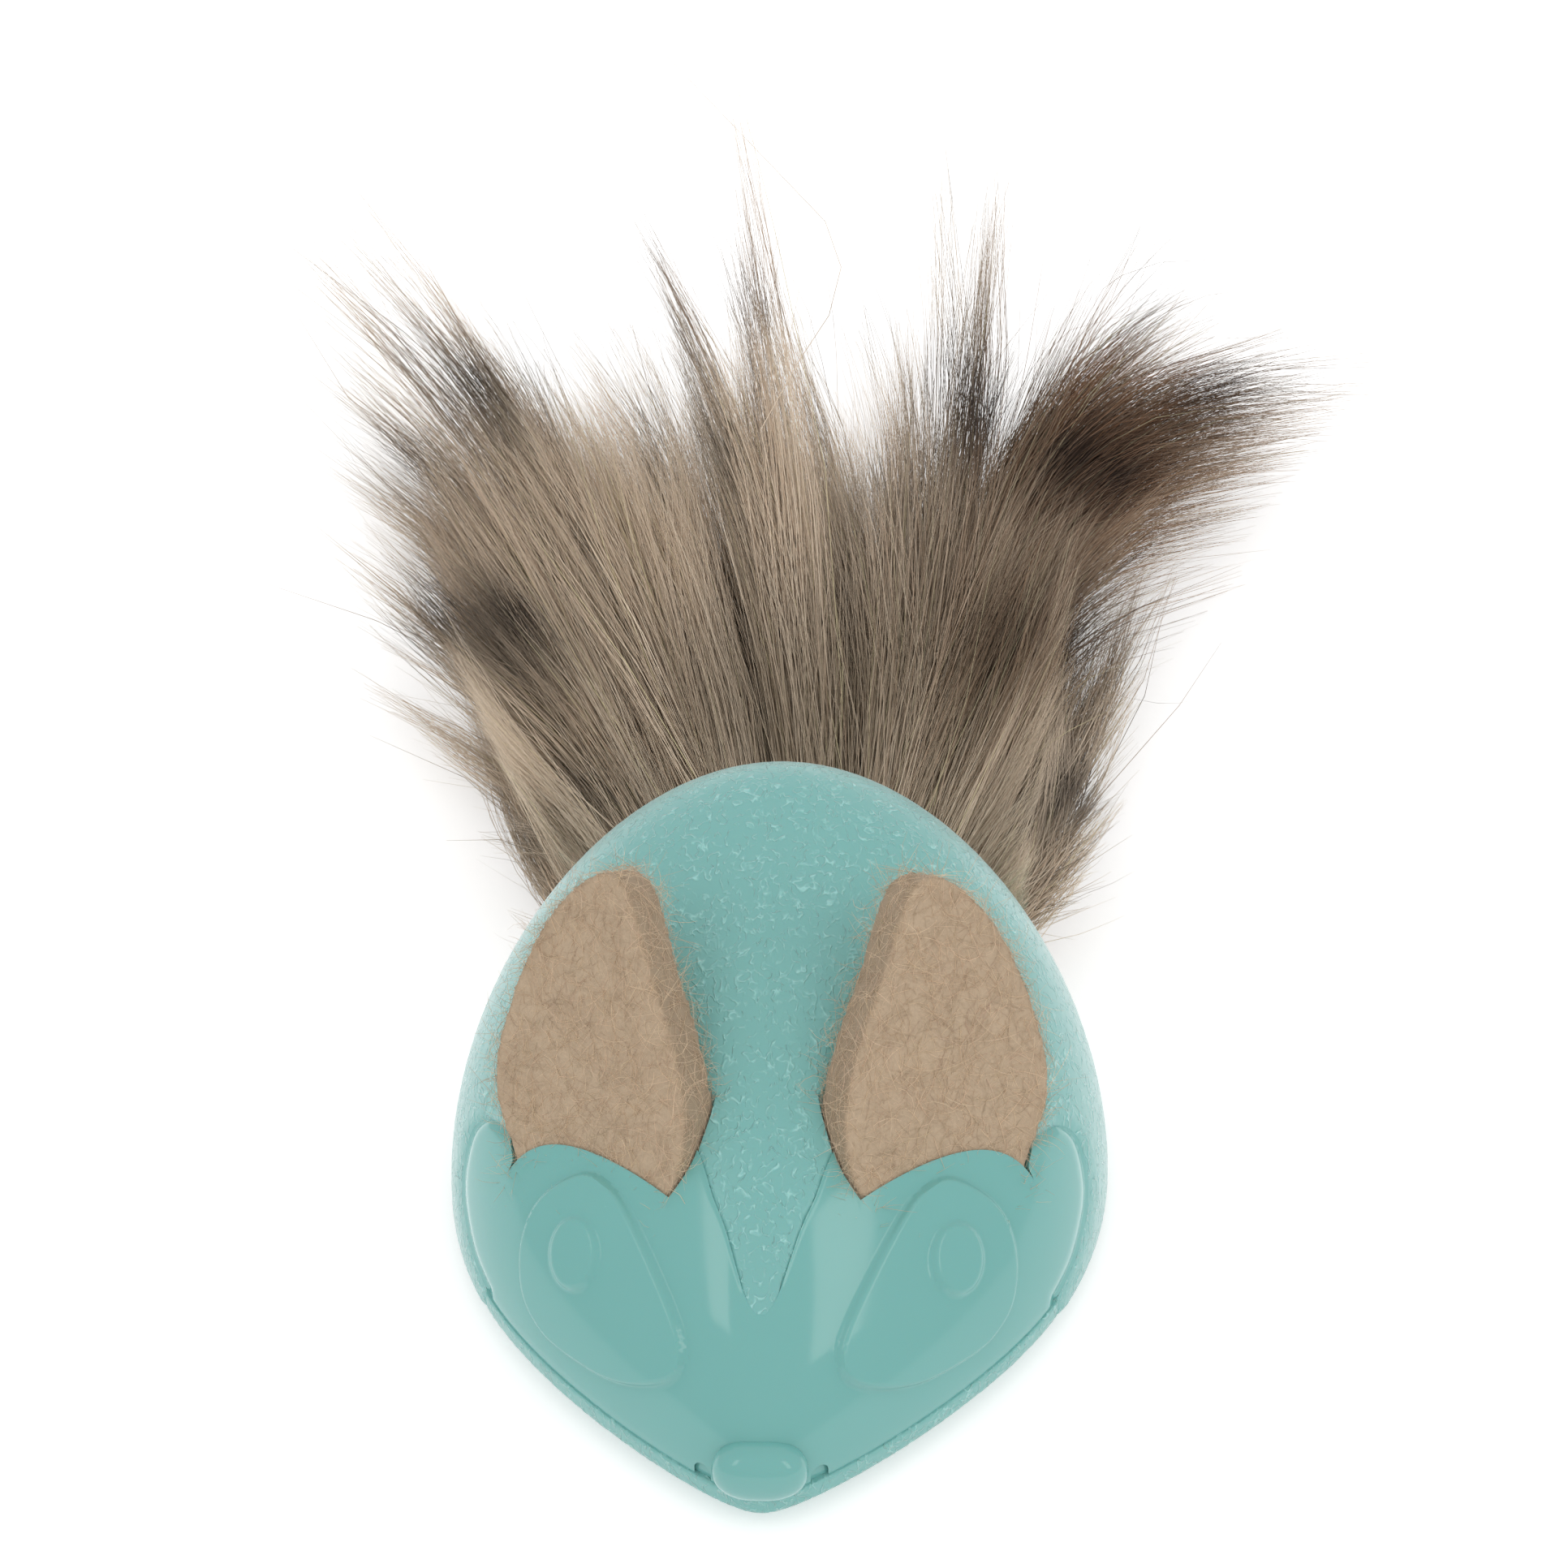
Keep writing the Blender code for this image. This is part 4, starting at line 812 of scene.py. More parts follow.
def refine_near(bm, outlines, reach):
    """Splits the faces of the half sphere whose places on the face lie near the outlines."""
    unit = np.array([f.calc_center_median()[:] for f in bm.faces])
    unit /= np.linalg.norm(unit, axis=1)[:, None]
    angle, rise = np.arctan2(unit[:, 1], unit[:, 0]), np.arcsin(np.clip(unit[:, 2], 0, 1))
    points = dome_points(angle, rise)
    where = face_coordinates(points)
    near = np.full(len(where), 1.0)
    for outline in outlines:
        near = np.minimum(near, np.abs(signed_distance(where, outline)))
    front = points[:, 1] < 0
    bm.faces.ensure_lookup_table()
    chosen = {e for i in np.nonzero((near < reach) & front)[0] for e in bm.faces[int(i)].edges}
    bmesh.ops.subdivide_edges(bm, edges=list(chosen), cuts=1, use_grid_fill=True)
    for vert in bm.verts:
        if vert.co.z > 1e-6:
            vert.co.normalize()


class OBJECT_OT_cat_toy_shell(Operator):
    """Build the textured shell with its openings for the mask, the ears and the tail"""
    bl_idname = "object.cat_toy_shell"
    bl_label = "Build Shell"

    def execute(self, context):
        body, tail = context.scene.cat_toy_body, context.scene.cat_toy_tail
        bm = unit_dome(420, 96)
        for reach in (1.2, 0.7):
            refine_near(bm, [mask_outline()], reach * MM)
        shape_dome(bm, relief=seam_groove)
        close_dome(bm)
        shell = mesh_from("toy_shell", bm)
        roughen(shell, body.grain, 0.5 * MM)
        hollow = dome_mesh("hollow", -body.shell_wall, 4 * MM)
        opening = face_prism("opening", mask_outline(), body.side_depth)
        inner, far = -tail.backing_setback - tail.backing_width, body.body_width
        slot = [outline_point(math.pi / 2 + side * tail.slot_spread, reach) for side, reach in (
            (-1, inner), (-1, far), (1, far), (1, inner))]
        tail_slot = plan_prism("slot", slot, 0, body.rim_clearance + tail.slot_rise)
        lip_space = plan_prism("lip_space", lip_zone(), 0, mask_floor_height())
        shell = carve(
            shell, ("DIFFERENCE", hollow), ("DIFFERENCE", opening), ("DIFFERENCE", tail_slot),
            ("DIFFERENCE", lip_space), ("DIFFERENCE", ear_mesh("slot", -1, 0.12 * MM)),
            ("DIFFERENCE", ear_mesh("slot", 1, 0.12 * MM)),
        )
        finish_piece(add_object("toy_shell", shell, shell_material()), "body_shell")
        return {"FINISHED"}


def lip_zone():
    """The part of the plan, between the mask's lower corners, where the base shows as a lip."""
    body = bpy.context.scene.cat_toy_body
    side, front, back = MASK_SHARES[-1][0] * body_half_width(), -2 * body.nose_reach, -10 * MM
    return [(-side, front), (side, front), (side, back), (-side, back)]


def mask_floor_height():
    """Height of the mask's lower edge over the floor."""
    body = bpy.context.scene.cat_toy_body
    return body.rim_clearance + body.plate_thickness + 0.3 * MM


def slab_mesh(name, profile, around=900):
    """A plate with the toy's plan, whose edge follows a profile of heights and growths from below upwards."""
    fine = outline_points(np.linspace(0, 2 * math.pi, 4001))
    way = np.concatenate([[0], np.cumsum(np.linalg.norm(np.diff(fine, axis=0), axis=1))])
    turns = np.interp(np.linspace(0, way[-1], around, endpoint=False), way, np.linspace(0, 2 * math.pi, 4001))
    bm = bmesh.new()
    loops = []
    for height, grow in profile:
        edge = outline_points(turns, grow)
        loops.append([bm.verts.new((x, y, height)) for x, y in edge])
    for low, high in zip(loops, loops[1:]):
        for i in range(around):
            bm.faces.new((low[i - 1], low[i], high[i], high[i - 1]))
    bm.faces.new(loops[0][::-1])
    bm.faces.new(loops[-1])
    return mesh_from(name, bm)


class OBJECT_OT_cat_toy_mask(Operator):
    """Build the polished mask with its raised eyes, pupils and nose"""
    bl_idname = "object.cat_toy_mask"
    bl_label = "Build Mask"

    def execute(self, context):
        body, face = context.scene.cat_toy_body, context.scene.cat_toy_face
        bm = unit_dome(360, 84)
        outlines = [eye_outline(-1), eye_outline(1), pupil_outline(-1), pupil_outline(1), mask_outline()]
        for reach in (1.0, 0.55):
            refine_near(bm, outlines, reach * MM)
        shape_dome(bm, relief=mask_relief)
        close_dome(bm)
        mask = mesh_from("toy_mask", bm)
        back = dome_mesh("back", -body.mask_thickness, 4 * MM)
        frame_prism = face_prism("frame", mask_outline(), body.side_depth)
        nose_reach = body.nose_reach + body.nose_tip - face.nose_sink
        nose_size = (face.nose_width, face.nose_depth, face.nose_height)
        nose = egg_mesh("nose", nose_size, (0, -nose_reach, face.nose_rise), boxiness=0.13)
        wide, long = body.body_width, 2 * body.nose_reach
        below = [(-wide, -long), (wide, -long), (wide, 0), (-wide, 0)]
        under = plan_prism("under", below, -4 * MM, mask_floor_height())
        notches = [carve(notch_mesh(side), ("DIFFERENCE", dome_mesh("deep", -face.notch_depth, 4 * MM)))
                   for side in (-1, 1)]
        nose = carve(nose, ("DIFFERENCE", dome_mesh("nose_back", -body.mask_thickness / 2, 4 * MM)))
        mask = carve(
            mask, ("DIFFERENCE", back), ("INTERSECT", frame_prism), ("DIFFERENCE", under),
            ("DIFFERENCE", notches[0]), ("DIFFERENCE", notches[1]), ("UNION", nose),
            ("DIFFERENCE", ear_mesh("slot", -1, 0.05 * MM)), ("DIFFERENCE", ear_mesh("slot", 1, 0.05 * MM)),
        )
        material = polished_material("polished_teal", tuple(body.mask_colour), 0.1)
        finish_piece(add_object("toy_mask", mask, material), "face_mask")
        return {"FINISHED"}


def notch_mesh(side):
    """A relief notch with a round top in the mask's lower edge."""
    body, face = bpy.context.scene.cat_toy_body, bpy.context.scene.cat_toy_face
    half = face.notch_width / 2
    shoulder = mask_floor_height() + half
    turns = np.linspace(0, math.pi, 17)
    profile = [(side * face.notch_side + half * math.cos(t), shoulder + half * math.sin(t)) for t in turns]
    profile += [(side * face.notch_side - half, 0), (side * face.notch_side + half, 0)]
    corners = [Vector((x, -body.nose_reach - 4 * MM, z)) for x, z in profile]
    return prism_mesh("notch", corners, Vector((0, 8 * MM, 0)))


def ear_matrix(side):
    """The ear's frame: X towards the middle of the face, Y up the ear, Z out of its front."""
    ears = bpy.context.scene.cat_toy_ears
    out = Vector((
        side * math.sin(ears.yaw) * math.cos(ears.lean),
        -math.cos(ears.yaw) * math.cos(ears.lean),
        math.sin(ears.lean),
    ))
    inward = Vector((-side * math.cos(ears.yaw), -math.sin(ears.yaw), 0))
    up = out.cross(inward) * -side
    place = Matrix((inward, up, out)).transposed().to_4x4()
    place.translation = ear_place(side) - out * ears.setback
    return place


def ear_outline():
    """The ear's outline in its own plane."""
    ears = bpy.context.scene.cat_toy_ears
    return smooth_outline([(a * ears.width, b * ears.height) for a, b in EAR_SHARES], closed=True, rounds=3)


def ear_mesh(name, side, grow=0.0):
    """One flat ear as a plain plate, grown on all sides."""
    ears = bpy.context.scene.cat_toy_ears
    outline = grown_outline(ear_outline(), -grow)
    mesh = prism_mesh(
        name, [Vector((x, y, grow)) for x, y in outline], Vector((0, 0, -ears.thickness - 2 * grow)))
    mesh.transform(ear_matrix(side))
    bm = bmesh.new()
    bm.from_mesh(mesh)
    bpy.data.meshes.remove(mesh)
    return mesh_from(name, bm)


class OBJECT_OT_cat_toy_ears(Operator):
    """Build the felt ears with their loose fibres"""
    bl_idname = "object.cat_toy_ears"
    bl_label = "Build Ears"

    def execute(self, context):
        ears = context.scene.cat_toy_ears
        felt, fibre = felt_material("felt"), felt_material("felt_fibre", "tint")
        foot = dome_mesh("foot", -ears.foot_depth, 4 * MM)
        for word, side in (("left", -1), ("right", 1)):
            mesh = carve(ear_mesh("ear", side, -0.1 * MM), ("DIFFERENCE", foot.copy()))
            work = add_object("work", mesh)
            remesh = work.modifiers.new("fine", "REMESH")
            remesh.mode = "VOXEL"
            remesh.voxel_size = 0.3 * MM
            smooth = work.modifiers.new("soft", "SMOOTH")
            smooth.iterations = 4
            bpy.context.view_layer.update()
            soft = bpy.data.meshes.new_from_object(work.evaluated_get(bpy.context.evaluated_depsgraph_get()))
            bpy.data.objects.remove(work)
            roughen(soft, 0.05 * MM, 0.5 * MM)
            mark_edge_shade(soft, ear_matrix(side).to_3x3().col[2])
            piece = finish_piece(add_object("ear_" + word + "_felt", soft, felt), "ear_" + word, sharp=0)
            fuzz = add_fuzz("ear_" + word + "_fuzz", piece.data, ears.fibres, 11 + side)
            fuzz.data.materials.append(fibre)
            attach(fuzz, "body")
        return {"FINISHED"}


def mark_edge_shade(mesh, out):
    """Marks the felt's cut edge, whose faces look along the ear's plane, as the mask of the painted shade that darkens
    it.
    """
    normals = np.empty(len(mesh.vertices) * 3)
    mesh.vertices.foreach_get("normal", normals)
    facing = np.abs(normals.reshape(-1, 3) @ np.array(out))
    cut = rising((0.75 - facing) / 0.4)
    mesh.attributes.new("edge_shade", "FLOAT", "POINT").data.foreach_set("value", cut.astype(np.float32))


def roughen(mesh, height, scale):
    """Moves each vertex a little along its normal, in bumps of one size."""
    points = coordinates(mesh)
    normals = np.empty(len(mesh.vertices) * 3)
    mesh.vertices.foreach_get("normal", normals)
    lift = np.array([noise.noise(Vector(p) / scale) + 0.5 * noise.noise(Vector(p) * 2.3 / scale) for p in points])
    set_coordinates(mesh, points + normals.reshape(-1, 3) * (lift * height)[:, None])


def tube_tree():
    """Geometry nodes that turn chains of edges into closed three-sided tubes of a given thickness."""
    tree = bpy.data.node_groups.get("strand_tubes")
    if tree:
        return tree
    tree = bpy.data.node_groups.new("strand_tubes", "GeometryNodeTree")
    tree.interface.new_socket("Geometry", in_out="INPUT", socket_type="NodeSocketGeometry")
    tree.interface.new_socket("Geometry", in_out="OUTPUT", socket_type="NodeSocketGeometry")
    add = tree.nodes.new
    start, end = add("NodeGroupInput"), add("NodeGroupOutput")
    lines, tubes = add("GeometryNodeMeshToCurve"), add("GeometryNodeCurveToMesh")
    ring = add("GeometryNodeCurvePrimitiveCircle")
    thickness = add("GeometryNodeInputNamedAttribute")
    thickness.data_type = "FLOAT"
    thickness.inputs["Name"].default_value = "thickness"
    ring.inputs["Resolution"].default_value = 3
    ring.inputs["Radius"].default_value = 0.5
    tubes.inputs["Fill Caps"].default_value = True
    tree.links.new(start.outputs[0], lines.inputs["Mesh"])
    tree.links.new(ring.outputs["Curve"], tubes.inputs["Profile Curve"])
    if "Scale" in tubes.inputs:
        tree.links.new(lines.outputs["Curve"], tubes.inputs["Curve"])
        tree.links.new(thickness.outputs["Attribute"], tubes.inputs["Scale"])
    else:
        sized = add("GeometryNodeSetCurveRadius")
        tree.links.new(lines.outputs["Curve"], sized.inputs["Curve"])
        tree.links.new(thickness.outputs["Attribute"], sized.inputs["Radius"])
        tree.links.new(sized.outputs["Curve"], tubes.inputs["Curve"])
    tree.links.new(tubes.outputs["Mesh"], end.inputs[0])
    return tree


def strand_piece(name, paths, widths, tints):
    """Thin closed tubes along paths, with a width and a colour at each step of each path."""
    count, steps = paths.shape[:2]
    mesh = bpy.data.meshes.new(name)
    number = np.arange(count * steps).reshape(count, steps)
    edges = np.stack([number[:, :-1].ravel(), number[:, 1:].ravel()], axis=1)
    mesh.vertices.add(count * steps)
    mesh.vertices.foreach_set("co", np.ascontiguousarray(paths, dtype=np.float32).ravel())
    mesh.edges.add(len(edges))
    mesh.edges.foreach_set("vertices", edges.ravel().astype(np.int32))
    mesh.attributes.new("thickness", "FLOAT", "POINT").data.foreach_set("value", widths.ravel().astype(np.float32))
    rgba = np.concatenate([tints, np.ones((count, steps, 1))], axis=2)
    mesh.attributes.new("tint", "FLOAT_COLOR", "POINT").data.foreach_set("color", rgba.ravel().astype(np.float32))
    work = add_object("work", mesh)
    work.modifiers.new("tubes", "NODES").node_group = tube_tree()
    bpy.context.view_layer.update()
    made = bpy.data.meshes.new_from_object(work.evaluated_get(bpy.context.evaluated_depsgraph_get()))
    bpy.data.objects.remove(work)
    bpy.data.meshes.remove(mesh)
    made.name = name
    made.shade_smooth()
    return add_object(name, made)


def add_fuzz(name, felt, count, seed):
    """Loose fibres that lie matted on a felt surface, a few standing off it."""
    rng = np.random.default_rng(seed)
    ears = bpy.context.scene.cat_toy_ears
    felt.calc_loop_triangles()
    points = coordinates(felt)
    corners = np.empty(len(felt.loop_triangles) * 3, dtype=np.int32)
    felt.loop_triangles.foreach_get("vertices", corners)
    a, b, c = (points[corners[i::3]] for i in range(3))
    cross = np.cross(b - a, c - a)
    area = np.linalg.norm(cross, axis=1)
    pick = rng.choice(len(area), count, p=area / area.sum())
    u, v = rng.random(count), rng.random(count)
    flip = u + v > 1
    u[flip], v[flip] = 1 - u[flip], 1 - v[flip]
    root = a[pick] + (b - a)[pick] * u[:, None] + (c - a)[pick] * v[:, None]
    out = cross[pick] / area[pick][:, None]
    aside = np.cross(out, rng.normal(size=(count, 3)))
    aside /= np.linalg.norm(aside, axis=1)[:, None]
    other = np.cross(out, aside)
    steps = np.linspace(0, 1, 5)
    span = rng.uniform(1.2, 3.6, count) * MM
    curl = rng.normal(0, 1.3, count)
    lift = np.where(rng.random(count) < 0.15, rng.uniform(0.08, 0.2, count), rng.uniform(0.035, 0.07, count)) * MM
    turns = steps[None, :] * curl[:, None]
    along = np.sin(turns) / np.where(np.abs(curl) < 1e-3, 1e-3, curl)[:, None]
    sideways = (1 - np.cos(turns)) / np.where(np.abs(curl) < 1e-3, 1e-3, curl)[:, None]
    rise = np.sin(steps * math.pi)[None, :] * lift[:, None] - 0.03 * MM
    loose = rng.random(count) < 0.04
    rise = np.where(loose[:, None], steps[None, :] ** 1.5 * lift[:, None] * 1.5, rise)
    paths = (
        root[:, None, :]
        + aside[:, None, :] * (along * span[:, None])[..., None]
        + other[:, None, :] * (sideways * span[:, None])[..., None]
        + out[:, None, :] * rise[..., None]
    )
    width = rng.uniform(0.016, 0.034, count)[:, None] * MM * (1 - 0.6 * steps[None, :] ** 3)
    base = np.array(ears.felt_colour)
    tone = rng.uniform(1.05, 1.85, count)[:, None, None]
    warm = rng.normal(0, 0.03, (count, 1, 3))
    tints = np.clip(base * (tone + warm) * np.ones((count, len(steps), 1)), 0, 1)
    return strand_piece(name, paths, width, tints)


# The camera: its turns, the photograph's scale, and the pixel that shows the point it aims at
AIM_X, AIM_Y = 958.38, 1306.74
CAMERA_YAW = -0.0666
CAMERA_ROLL = -0.0362
PIXELS_PER_MM = 18.3586
PHOTO_SIDE = 1932
PHOTO_MIDDLE = PHOTO_SIDE / 2
SENSOR_WIDTH = 36


def camera_frame():
    """The camera's place and axes in the toy's own frame, in metres."""
    stage = bpy.context.scene.cat_toy_stage
    aim = Vector((0, 0, 10 * MM))
    away = Vector((0, -math.cos(FACE_TILT), math.sin(FACE_TILT)))
    place = aim + away * stage.distance
    x, y = (PHOTO_MIDDLE - AIM_X) / PIXELS_PER_MM * MM, (AIM_Y - PHOTO_MIDDLE) / PIXELS_PER_MM * MM
    u = x * math.cos(CAMERA_ROLL) - y * math.sin(CAMERA_ROLL)
    v = x * math.sin(CAMERA_ROLL) + y * math.cos(CAMERA_ROLL)
    middle = aim + FACE_RIGHT * u + FACE_UP * v
    back = (place - middle).normalized()
    upward = -FACE_RIGHT * math.sin(CAMERA_ROLL) + FACE_UP * math.cos(CAMERA_ROLL)
    right = upward.cross(back).normalized()
    upward = back.cross(right)
    turned = Matrix.Rotation(-CAMERA_YAW, 4, "Z")
    axes = Matrix((right, upward, back)).transposed().to_4x4()
    return turned @ Matrix.Translation(place) @ axes


def seen_at(px, py, height):
    """The point at a height over the floor that the photograph shows at a pixel, in the toy's own frame."""
    view = camera_frame()
    focus = bpy.context.scene.cat_toy_stage.lens / SENSOR_WIDTH * PHOTO_SIDE
    ray = view.to_3x3() @ Vector(((px - PHOTO_MIDDLE) / focus, (PHOTO_MIDDLE - py) / focus, -1))
    start = view.translation
    return start + ray * ((height - start.z) / ray.z)


# Tufts of guard hair: lock, tip pixel, tip height in mm, width in mm and hairs. The brushed lock's tufts also have
# how far they bend, in mm. tuft_bend works out the others.
TUFTS = [
    (1, 683, 1082, 3, 1.6, 60), (1, 650, 1030, 4, 1.5, 80), (2, 606, 1000, 6, 1.3, 70),
    (2, 640, 955, 7, 1.6, 90), (2, 690, 930, 6, 2.0, 110), (3, 430, 820, 2, 1.2, 26),
    (3, 480, 850, 3, 1.4, 40), (3, 510, 890, 3, 1.5, 50), (3, 550, 845, 5, 2.0, 110),
    (4, 380, 640, 8, 0.7, 26), (4, 430, 690, 8, 1.3, 70), (4, 480, 740, 8, 1.5, 90),
    (4, 530, 780, 8, 1.7, 90), (4, 440, 640, 9, 1.4, 80), (4, 410, 700, 8, 0.9, 30),
    (4, 590, 700, 10, 2.4, 160), (4, 560, 640, 11, 2.4, 160), (5, 340, 260, 3, 0.9, 30),
    (5, 390, 400, 3, 1.2, 60), (5, 425, 440, 4, 1.5, 80), (5, 400, 510, 3, 1.3, 70),
    (5, 390, 560, 3, 1.0, 50), (5, 430, 565, 4, 1.5, 90), (5, 445, 520, 5, 1.5, 90),
    (5, 485, 490, 5, 1.7, 110), (5, 520, 600, 6, 2.4, 160), (6, 370, 300, 11, 1.2, 60),
    (6, 400, 250, 11, 0.9, 34), (6, 430, 215, 12, 0.7, 18), (6, 480, 300, 12, 1.3, 70),
    (6, 525, 325, 12, 1.4, 80), (6, 497, 372, 12, 1.3, 110), (6, 560, 345, 12, 1.3, 70),
    (6, 600, 375, 12, 1.4, 90), (6, 645, 410, 12, 1.5, 100), (6, 620, 480, 13, 2.4, 170),
    (7, 680, 372, 4, 0.4, 14), (7, 700, 395, 5, 1.2, 60), (7, 740, 385, 5, 1.2, 60),
    (7, 780, 365, 5, 1.1, 50), (7, 680, 470, 6, 2.4, 170), (7, 755, 490, 6, 2.6, 170),
    (8, 795, 250, 14, 0.8, 90), (8, 826, 360, 14, 1.2, 130), (8, 850, 430, 14, 1.4, 120),
    (8, 905, 225, 14, 0.9, 110), (8, 885, 300, 14, 1.1, 70), (8, 900, 60, 20, 0.4, 30),
    (9, 935, 330, 5, 1.1, 60), (9, 962, 350, 5, 0.9, 50), (9, 985, 430, 5, 1.2, 70),
    (9, 905, 480, 6, 2.6, 190), (9, 960, 520, 6, 2.4, 190), (10, 1062, 340, 13, 0.8, 50),
    (10, 1100, 345, 13, 0.7, 40), (10, 1122, 372, 13, 0.9, 100), (10, 1165, 170, 13, 0.5, 36),
    (10, 1240, 178, 13, 0.6, 110), (10, 1200, 430, 13, 1.4, 110), (10, 1040, 500, 12, 2.4, 170),
    (10, 1120, 480, 12, 2.4, 190), (11, 1362, 262, 9, 1.0, 45, 3), (11, 1420, 245, 8, 0.8, 26, 5),
    (11, 1450, 290, 8, 0.9, 45, 8), (11, 1330, 400, 8, 2.0, 150, 4), (11, 1250, 400, 8, 1.2, 80, 2),
    (11, 1470, 340, 8, 1.2, 170, 14), (11, 1440, 365, 8, 1.2, 150, 12), (11, 1505, 375, 8, 1.1, 160, 17),
    (11, 1540, 410, 7, 1.2, 170, 19), (11, 1590, 395, 8, 0.9, 90, 21), (11, 1570, 445, 7, 1.1, 165, 21),
    (11, 1645, 425, 7, 0.9, 110, 24), (11, 1705, 425, 7, 0.6, 45, 26), (11, 1690, 465, 7, 0.7, 60, 26),
    (11, 1610, 480, 7, 1.1, 165, 23), (11, 1570, 512, 7, 1.1, 160, 21), (11, 1630, 530, 6, 0.8, 60, 22),
    (11, 1490, 540, 6, 1.1, 130, 16), (11, 1440, 480, 7, 1.4, 160, 13), (12, 1375, 600, 11, 1.4, 130),
    (12, 1460, 560, 11, 1.3, 90), (12, 1500, 610, 9, 0.7, 24), (12, 1550, 680, 9, 0.7, 18),
    (12, 1320, 600, 11, 2.4, 190), (13, 1430, 680, 4, 1.1, 60), (13, 1400, 730, 4, 1.4, 90),
    (13, 1400, 780, 4, 1.4, 90), (13, 1390, 840, 4, 1.4, 80), (13, 1412, 822, 4, 0.7, 24),
    (13, 1320, 760, 5, 2.2, 160), (14, 1370, 950, 7, 1.2, 70), (14, 1385, 975, 7, 1.1, 60),
    (14, 1360, 1020, 6, 1.2, 60), (14, 1350, 1060, 6, 1.2, 50), (14, 1338, 1106, 6, 0.7, 18),
    (14, 1310, 890, 7, 2.0, 120),
]
# Patches of the pile's tone: pixel, radius in pixels, how pale, how brown
TONES = [
    (560, 560, 130, 0.8, 0.15), (760, 590, 130, 0.95, 0.05), (920, 610, 110, 1.0, 0.05), (1050, 600, 90, 0.9, 0.05),
    (660, 760, 90, 0.6, 0.1), (760, 700, 90, 0.85, 0.0), (790, 880, 100, 0.6, 0.0), (900, 850, 80, 0.2, 0.0),
    (970, 740, 60, 0.5, 0.0), (1070, 800, 90, 0.25, 0.0), (1130, 650, 70, 0.6, 0.1), (1210, 690, 80, 0.25, 0.4),
    (1230, 820, 90, 0.18, 0.4), (1250, 560, 60, 0.1, 0.5), (1400, 430, 130, 0.3, 0.95), (1580, 450, 110, 0.45, 0.7),
    (1230, 950, 80, 0.6, 0.05), (1330, 960, 80, 0.75, 0.05), (450, 620, 120, 0.65, 0.35), (680, 960, 90, 0.8, 0.0),
    (825, 370, 50, 0.35, 0.7), (900, 320, 45, 0.6, 0.5), (1120, 380, 90, 0.85, 0.1), (420, 300, 120, 0.7, 0.4),
]
# Dark streaks in the guard hairs: pixel, radius in pixels, depth
STREAKS = [
    (575, 475, 34, 0.85), (512, 425, 22, 0.7), (655, 440, 36, 0.85), (610, 395, 24, 0.5),
    (485, 565, 34, 0.8), (430, 540, 22, 0.6), (550, 740, 34, 0.9), (635, 755, 42, 0.9), (505, 780, 18, 0.9),
    (745, 965, 34, 0.7), (665, 1010, 34, 0.6), (700, 405, 20, 0.7), (745, 410, 22, 0.7),
    (800, 310, 20, 0.8), (815, 400, 20, 0.75), (845, 470, 24, 0.7), (876, 550, 16, 0.9),
    (890, 340, 26, 0.8), (930, 370, 18, 0.7), (1032, 392, 22, 0.8), (1080, 395, 26, 0.9),
    (1194, 208, 22, 0.8), (1160, 450, 30, 0.9), (1222, 492, 48, 1.0), (1425, 357, 34, 0.85),
    (1515, 472, 42, 0.85), (1328, 556, 34, 0.9), (1378, 585, 34, 0.9), (1235, 790, 42, 0.6),
    (1325, 785, 38, 0.8), (1315, 982, 32, 0.8), (1365, 300, 16, 0.8), (1072, 590, 14, 0.8),
    (400, 440, 18, 0.5), (1600, 460, 26, 0.6),
]
# Where the undercoat ends, as pixels from the left side of the tail round to its right
UNDERCOAT_EDGE = [
    (700, 1090), (650, 1010), (590, 905), (545, 800), (520, 700), (490, 600), (500, 500), (570, 430), (640, 440),
    (720, 460), (790, 490), (850, 440), (900, 400), (950, 470), (1000, 530), (1060, 480), (1130, 490), (1190, 500),
    (1250, 540), (1310, 590), (1340, 650), (1335, 740), (1325, 820), (1300, 920), (1285, 1010), (1280, 1100),
]
STREAK_SPREAD = 1.3
STREAK_STRENGTH = 1.12
FAN_FOOT = (960, 940)
LOCKS = 14
GUESSED_STEPS = np.linspace(0, 1, 25)
FIXED_STEPS = (0.0, 0.25, 0.52, 0.78, 1.0)
STREAK_STEPS = (-0.06, 0.0, 0.06)


def tuft_bend(tuft):
    """How far a tuft bends, in mm: its own value, or more the further out it lies on its side of the fan."""
    lock, px, py = tuft[:3]
    if len(tuft) > 6:
        return tuft[6]
    if lock == 12 and py < 700:
        return round(0.06 * max(px - 1290, 0) * 0.8, 1)
    if lock in (4, 5, 6) and py < 620 and px < 700:
        return round(-6.5 * (700 - px) / 330, 1)
    return -2.0 if lock in (3, 4) and py < 760 else 0.0


def streak_table():
    """The streaks as places, whole radii in pixels and depths of up to one, spread and deepened alike."""
    streaks = np.array(STREAKS, dtype=float)
    streaks[:, 2] = np.round(streaks[:, 2] * STREAK_SPREAD)
    streaks[:, 3] = np.minimum(np.round(streaks[:, 3] * STREAK_STRENGTH, 2), 1)
    return streaks


def lock_turn(lock):
    """Where round the plan a lock grows, numbered from the left side round to the right."""
    spread = bpy.context.scene.cat_toy_tail.spread
    return math.pi / 2 + spread * (1 - 2 * (lock - 0.5) / LOCKS)


